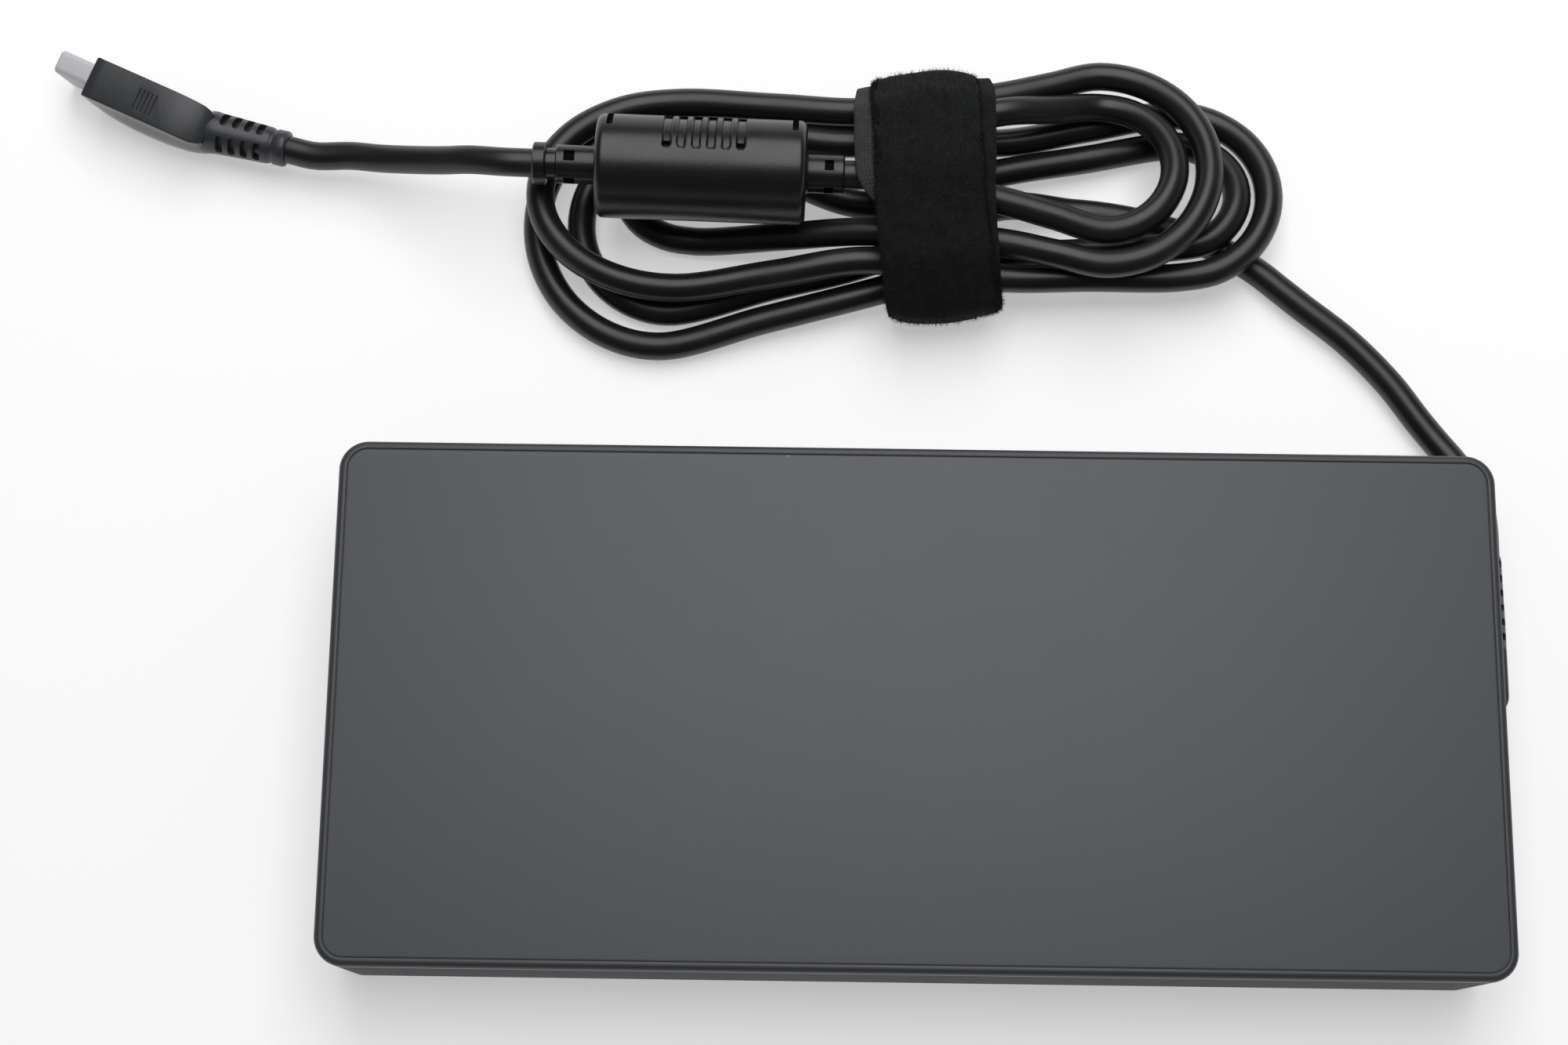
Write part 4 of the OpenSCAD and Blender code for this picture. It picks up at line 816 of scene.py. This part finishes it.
def make_plug():
    """The moulded grip, swollen on one side, and its slotted strain relief."""
    w, h = PLUG_WIDTH / 2, PLUG_HEIGHT / 2
    near = w + PLUG_FULLER
    bm = block((0, -near, -h), (PLUG_LENGTH, w, h))
    bevelled(bm, [e for e in along(bm, 0) if e.verts[0].co.y < 0], 0.35, 4)
    bevelled(bm, [e for e in along(bm, 0) if e.verts[0].co.y > 0], 0.12, 2)
    stations, narrow, low, swell = zip(*PLUG_SHAPE)
    planes = [((x, 0, 0), (1, 0, 0)) for x in stations[1:-1]]
    planes += [((0, 0, z), (0, 0, 1)) for z in (-4.6, -3.4, -2, -0.5, 1, 2.4, 3.7, 4.8)]
    for place, way in planes:
        bmesh.ops.bisect_plane(bm, geom=list(bm.verts) + list(bm.edges) + list(bm.faces),
                               plane_co=place, plane_no=way)
    for v in bm.verts:
        x, y, z = v.co
        # The swell fades out towards the upper and the lower edge
        side = ease(min(max((5.2 - z) / 5, 0), 1)) * ease(min(max((z + 5.6) / 4, 0), 1))
        out = np.interp(x, stations, swell) * side if y < 0.05 - near else 0.0
        v.co.y = y * (1 - np.interp(x, stations, narrow) / w) - out
        v.co.z = z * (1 - np.interp(x, stations, low) / h)
    body = finished(bm, "grip", 38)
    grooves = []
    for x in 10.2 + 0.85 * np.arange(5):
        for low_z, high_z in ((h - 0.28, h + 1), (-h - 1, -h + 0.28)):
            grooves.append(finished(block((x - 0.15, -2.7, low_z), (x + 0.15, 1.3, high_z)),
                                    "groove"))
    wide, high = TIP_HALF_Y + SOCKET_FIT, TIP_HALF_Z + SOCKET_FIT
    socket = block((-1, -wide, -high), (TIP_INSIDE + 0.2, wide, high))
    bevelled(socket, along(socket, 0), 0.5, 4)
    cut(body, grooves + [finished(socket, "socket")], 38)
    move(body, plug_matrix())
    for v in body.data.vertices:
        v.co.z = max(v.co.z, 0)
    core, hollow_from, end = 1.0, 8.4, RELIEF_LENGTH
    relief = finished(spun([(-0.7, core), (-0.7, 3.9), (0.2, 4.0), (1.2, 3.85), (10.8, 3.45),
                            (11.4, 3.3), (11.7, 3.12), (12.0, 3.12), (12.3, 3.35), (14.0, 3.35),
                            (14.3, 3.25), (end, 2.95), (end, CORD_BORE),
                            (hollow_from, CORD_BORE), (hollow_from, core)], 64), "relief", 40)
    cut(relief, [slot_cutter(2.3 + 2.35 * i, math.radians(45 + 90 * q), 3.85 - 0.09 * i, 1.5,
                             1.35, 3.7) for i in range(4) for q in range(4)], 40)
    move(relief, turned(RELIEF_ALONG, RELIEF_START) @ Matrix.Rotation(PLUG_LEAN, 4, "Z"))
    plug = ride(joined("plug_body", [body, relief], 38), plug_finish, "soft_plastic",
                "plug_overmould")
    across = plug_matrix().to_3x3() @ Vector((0, 1, 0))
    # The broad sides of the grip take the glossier plastic, whose lighter colour is painted light.
    return second_finish(plug, plug_side_painted_light_finish, lambda face: abs(face.normal.dot(across)) > 0.8
                         and (face.center / MM - Vector(PLUG_AT)).dot(PLUG_ALONG) < PLUG_LENGTH)


def make_tip():
    """The flat metal shell of the tip, with its rounded mouth."""
    bm = block((-TIP_LENGTH, -TIP_HALF_Y, -TIP_HALF_Z), (TIP_INSIDE, TIP_HALF_Y, TIP_HALF_Z))
    bevelled(bm, along(bm, 0), 1.0, 7)
    bevelled(bm, level(bm, 0, -TIP_LENGTH), 0.6, 5)
    stepped(bm, facing(bm, 0, -TIP_LENGTH), [(0.12, 0), (0.1, -0.08), (0.04, -15.4)])
    return ride(move(finished(bm, "tip_shell", 40), plug_matrix()), tip_finish, "plated_metal",
                "plug_shell")


plug = make_plug()
tip = make_tip()


# ---- strap ----

STRAP_MIDDLE, STRAP_CENTRE, STRAP_TURN = 4.0, 98.0, math.radians(6)
STRAP_SLACK, STRAP_THICK, STRAP_LOOSE = 0.4, 0.9, 1.0
STRAP_STEPS, STRAP_COLUMNS = 240, 24
STRAP_WIDE = 22.0  # for the weave's scale
HOOKS_END = -3.0  # the hook tape shows to the left of this

# Round the strap from below the near side to below the far side:
# place across the bundle and height, then where the left and right edges run
INNER_EDGES = [(-15, 0, -10.6, 9.6), (-22, 5, -10.2, 9.0), (-22, 10, -10.6, 9.8),
               (-17, 14, -11.0, 9.8), (-11, 18, -11.4, 9.7), (-4, 20, -11.6, 10.0),
               (-2, 20, -13.6, 10.2), (1, 20, -14.8, 10.6), (9, 20, -14.3, 11.6),
               (18, 16, -13.2, 12.6), (21, 12, -12.2, 12.2), (22, 8, -11.4, 11.6),
               (15, 0, -11, 11)]
OUTER_EDGES = [(-15, 0, -7.6, 7.0), (-21, 2, -7.8, 7.2), (-22.6, 5, -8.5, 8.0),
               (-22.9, 9, -9.9, 9.8), (-20, 12.5, -11.1, 9.6), (-17, 14, -11.3, 8.9),
               (-11, 18, -11.5, 8.0), (-4, 20, -11.5, 7.8), (8, 20, -10.5, 8.5),
               (16, 17, -10.1, 9.2), (20, 14, -9.6, 9.4), (22, 11, -8.4, 8.3), (22, 7, -7.8, 7.8),
               (15, 0, -8, 8)]


def bundle_line(grow):
    """The line round all the cords, (across, height), evenly, from below on the near side."""
    bm = bmesh.new()
    edges = ((0, 1, WAIST[1]), (2, 3, WAIST[0]))
    for row in PASSES:
        for side, height, x in edges:
            y = ((row[side] - STRAP_CENTRE) * math.cos(STRAP_TURN)
                 - (x - STRAP_MIDDLE) * math.sin(STRAP_TURN))
            for aside in (0, STRAP_LOOSE):
                bmesh.ops.create_circle(bm, segments=48, radius=CORD / 2 + grow,
                                        matrix=Matrix.Translation((y - aside, row[height], 0)))
    points = sorted({(round(v.co.x, 4), round(v.co.y, 4)) for v in bm.verts})
    bm.free()

    def half(dots):
        """One half of the hull round the dots."""
        out = []
        for p in dots:
            while len(out) > 1 and ((out[-1][0] - out[-2][0]) * (p[1] - out[-2][1])
                                    - (out[-1][1] - out[-2][1]) * (p[0] - out[-2][0])) <= 0:
                out.pop()
            out.append(p)
        return out[:-1]
    line = np.array(half(points) + half(points[::-1]))[::-1]
    start = np.argmin(line[:, 1] + 0.02 * np.abs(line[:, 0]))
    line = np.roll(line, -start, axis=0)
    line = np.vstack([line, line[:1]])
    far = np.concatenate([[0], np.cumsum(np.linalg.norm(np.diff(line, axis=0), axis=1))])
    even = np.linspace(0, far[-1], STRAP_STEPS, endpoint=False)
    line = np.stack([np.interp(even, far, line[:, k]) for k in range(2)], 1)
    for _ in range(6):
        line = 0.5 * line + 0.25 * (np.roll(line, 1, 0) + np.roll(line, -1, 0))
    return line, far[-1]


def strap_turn(name, grow, edges, swell):
    """One turn of the strap, as a tape slightly cupped over the cords, before it gets its
    thickness and rolled edges.
    """
    line, length = bundle_line(grow)
    out = np.roll(line, -1, 0) - np.roll(line, 1, 0)
    out = np.stack([-out[:, 1], out[:, 0]], 1)
    out /= np.linalg.norm(out, axis=1)[:, None]
    middle = line.mean(axis=0)
    out *= np.sign(((line - middle) * out).sum(axis=1))[:, None]
    marks = sorted((int(np.argmin(np.hypot(line[:, 0] - y, line[:, 1] - z))), a, b)
                   for y, z, a, b in edges)
    at = [m[0] for m in marks]
    at = [at[-1] - STRAP_STEPS] + at + [at[0] + STRAP_STEPS]
    steps = np.arange(STRAP_STEPS)
    sides = []
    for k in (1, 2):
        values = [m[k] for m in marks]
        values = [values[-1]] + values + [values[0]]
        side = np.interp(steps, at, values)
        for _ in range(8):
            side = 0.5 * side + 0.25 * (np.roll(side, 1) + np.roll(side, -1))
        sides.append(side)
    share = (1 - np.cos(np.linspace(0, math.pi, STRAP_COLUMNS + 1))) / 2
    top = ease(np.clip((line[:, 1] - 1.5) / 4, 0, 1))
    rings = []
    for u in share:
        x = sides[0] + (sides[1] - sides[0]) * u
        cup = swell * (1 - abs(2 * u - 1) ** 2.6) - 0.25 * abs(2 * u - 1) ** 6
        wave = 0.12 * np.sin(x * 0.5 + steps * 0.09) * np.sin(steps * 0.21 + 1.3)
        lift = (cup + wave) * top
        y, z = (line + out * lift[:, None]).T
        rings.append(np.stack([STRAP_MIDDLE + x * math.cos(STRAP_TURN) - y * math.sin(STRAP_TURN),
                               STRAP_CENTRE + x * math.sin(STRAP_TURN)
                               + y * math.cos(STRAP_TURN), z], 1))
    rings = [np.vstack([ring, ring[:1]]) for ring in rings]
    bm = bent_grid(rings, (length, STRAP_WIDE), closed=True)
    bmesh.ops.recalc_face_normals(bm, faces=bm.faces)
    return bm


def with_thickness(bm, name):
    """Gives the tape its thickness outwards and rolls its edges."""
    bmesh.ops.solidify(bm, geom=list(bm.faces), thickness=-STRAP_THICK)
    rim = [e for e in bm.edges if e.calc_face_angle(0.0) > math.radians(50)]
    bevelled(bm, rim, 0.32, 3)
    for v in bm.verts:
        v.co.z = max(v.co.z, 0.03)
    return finished(bm, name, 60)


PILE_BATCH = 150  # fibres in one bmesh, so that adding more stays quick
PILE_AT_EDGES = 7.0  # how much thicker the pile is along the edges


def make_pile(tape, count, seed, name):
    """Short fibres that stand out of the strap's outer face and hang over its edges."""
    draw = np.random.default_rng(seed)
    mesh = tape.data
    middle = Vector((STRAP_MIDDLE, STRAP_CENTRE, 10)) * MM
    faces = [p for p in mesh.polygons
             if (p.center - middle).dot(p.normal) > 0 or abs(p.normal.x) > 0.5]
    areas = np.array([p.area * (PILE_AT_EDGES if abs(p.normal.x) > 0.35 else 1.0)
                      for p in faces])
    picks = draw.choice(len(faces), count, p=areas / areas.sum())
    batches = []
    for n, pick in enumerate(picks):
        if n % PILE_BATCH == 0:
            bm = bmesh.new()
            batches.append(bm)
        face = faces[pick]
        corners = [mesh.vertices[i].co for i in face.vertices]
        shares = draw.dirichlet(np.ones(len(corners)))
        root = sum((c * w for c, w in zip(corners, shares)), Vector()) / MM
        lean = face.normal + Vector(draw.normal(0, 0.5, 3))
        if root.z < 1.2:
            lean.z = abs(lean.z) + 0.3
        lean.normalize()
        length = float(draw.uniform(0.35, 1.0))
        bmesh.ops.create_cone(bm, cap_ends=True, segments=3, radius1=0.04, radius2=0.012,
                              depth=length, matrix=turned(lean, root + lean * (length / 2 - 0.1)))
    made = [finished(batch, "tuft") for batch in batches]
    return joined(name, made)


inner_tape = strap_turn("strap_inner", STRAP_SLACK, INNER_EDGES, 0.1)
strap_inner = ride(with_thickness(inner_tape, "strap_inner"), velvet_finish, "strap_fabric",
                   "strap_inner_turn")
second_finish(strap_inner, hook_finish,
              lambda face: face.center.x < HOOKS_END * MM and face.center.z > 8 * MM)
outer_tape = strap_turn("strap_outer", STRAP_SLACK + STRAP_THICK + 0.05, OUTER_EDGES, 1.0)
strap_outer = ride(with_thickness(outer_tape, "strap_outer"), velvet_finish, "strap_fabric",
                   "strap_outer_turn")
strap_pile = ride(make_pile(strap_outer, 12000, 11, "strap_pile"), velvet_finish,
                  "strap_fabric")


# ---- finishes of the parts kept from the frame ----

KEPT = {
    "inlet_housing": dark_plastic, "inlet_blades": blade_finish, "inlet_wires": wire_finish,
    "circuit_board": board_finish, "fuse": sheet_finish, "varistor": blue_finish,
    "inrush_thermistor": dark_plastic, "line_choke_core": ferrite_finish,
    "line_choke_winding": copper_finish, "x_capacitor": yellow_finish,
    "y_capacitors": blue_finish, "bridge_rectifier": dark_plastic,
    "boost_choke_core": ferrite_finish, "boost_choke_winding": copper_finish,
    "power_transistors": dark_plastic, "primary_heatsink": aluminium_finish,
    "bulk_capacitors": sleeve_finish, "transformer_core": ferrite_finish,
    "transformer_winding": yellow_finish, "resonant_capacitor": red_finish,
    "rectifier_transistors": dark_plastic, "secondary_heatsink": aluminium_finish,
    "output_capacitors": sleeve_finish, "output_choke": dark_plastic,
    "control_board": board_finish, "control_chips": dark_plastic, "optocouplers": dark_plastic,
    "heatsink_screws": steel_finish, "bottom_insulator": sheet_finish,
    "bottom_spreader": aluminium_finish, "top_spreader": aluminium_finish,
    "top_insulator": sheet_finish, "thermal_pads": pad_finish, "output_wires": wire_finish,
    "ferrite_core": ferrite_finish, "plug_insulator": dark_plastic,
    "plug_centre_pin": brass_finish,
}
for name, finish in KEPT.items():
    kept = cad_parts[name]
    kept.data.materials.clear()
    kept.data.materials.append(finish)


# ---- floor and light ----

WHITE_LIFT = 0.42  # what the floor adds for the rays that see the background
WHITE_FROM, WHITE_TO = 0.35, 0.8  # metres from the middle, where the floor turns plain white
FLOOR_HALF, FLOOR_DROP = 12.0, 0.00002
ROOM_LIGHT = 0.18
LAMP_AT, LAMP_SIZE, LAMP_WATTS = (0.04, 0.74, 1.05), (0.8, 1.52), 12.4


def background_rays(tree):
    """1 for camera, glossy and transmission rays, which see the pale background."""
    path = node(tree, "ShaderNodeLightPath")
    some = maths(tree, "MAXIMUM", path.outputs["Is Camera Ray"], path.outputs["Is Glossy Ray"])
    return maths(tree, "MAXIMUM", some, path.outputs["Is Transmission Ray"])


def make_floor():
    """A wide pale floor: it keeps the shadow near the object and turns plain white far out."""
    bm = bmesh.new()
    bmesh.ops.create_grid(bm, x_segments=1, y_segments=1, size=FLOOR_HALF)
    bmesh.ops.translate(bm, vec=(0, 0, -FLOOR_DROP), verts=bm.verts)
    mesh = bpy.data.meshes.new("floor")
    bm.to_mesh(mesh)
    bm.free()
    floor = bpy.data.objects.new("floor", mesh)
    bpy.context.scene.collection.objects.link(floor)
    material, tree, shader, place = new_finish("pale floor", (0.76, 0.76, 0.765, 1), 0.8,
                                               specular=0.2)
    seen = background_rays(tree)
    lift = node(tree, "ShaderNodeEmission", {"Strength": maths(tree, "MULTIPLY", seen,
                                                               WHITE_LIFT)})
    near = node(tree, "ShaderNodeAddShader", {0: shader.outputs[0], 1: lift.outputs[0]})
    plain_white = node(tree, "ShaderNodeEmission", {"Strength": 1.0})
    far = node(tree, "ShaderNodeVectorMath", {0: place}, operation="LENGTH").outputs["Value"]
    share = maths(tree, "MULTIPLY", ranged(tree, far, WHITE_FROM, WHITE_TO), seen)
    both = node(tree, "ShaderNodeMixShader", {0: share, 1: near.outputs[0],
                                              2: plain_white.outputs[0]})
    tree.links.new(both.outputs[0], tree.nodes["Material Output"].inputs["Surface"])
    mesh.materials.append(material)


def make_light(name, at, aim, size, power):
    """A rectangular softbox, aimed at a place."""
    data = bpy.data.lights.new(name, "AREA")
    data.shape = "RECTANGLE"
    data.size, data.size_y = size
    data.energy = power
    light = bpy.data.objects.new(name, data)
    bpy.context.scene.collection.objects.link(light)
    light.location = at
    light.rotation_euler = (Vector(aim) - Vector(at)).to_track_quat("-Z", "Y").to_euler()


def make_world():
    """Soft room light; the background is white along the horizon and dim overhead."""
    world = bpy.data.worlds.new("world")
    bpy.context.scene.world = world
    world.use_nodes = True
    tree = world.node_tree
    room = tree.nodes["Background"]
    room.inputs["Color"].default_value = (1, 1, 1, 1)
    room.inputs["Strength"].default_value = ROOM_LIGHT
    ahead = node(tree, "ShaderNodeTexCoord").outputs["Generated"]
    height = node(tree, "ShaderNodeSeparateXYZ", {0: ahead}).outputs[2]
    seen = node(tree, "ShaderNodeBackground", {
        "Color": (1, 1, 1, 1), "Strength": ranged(tree, height, 0.03, 0.3, 1.0, 0.08)})
    pick = node(tree, "ShaderNodeMixShader", {0: background_rays(tree), 1: room.outputs[0],
                                              2: seen.outputs[0]})
    tree.links.new(pick.outputs[0], tree.nodes["World Output"].inputs["Surface"])


make_floor()
make_world()
make_light("overhead", LAMP_AT, (LAMP_AT[0], LAMP_AT[1], 0.0), LAMP_SIZE, LAMP_WATTS)

bpy.context.scene.view_settings.view_transform = "Standard"
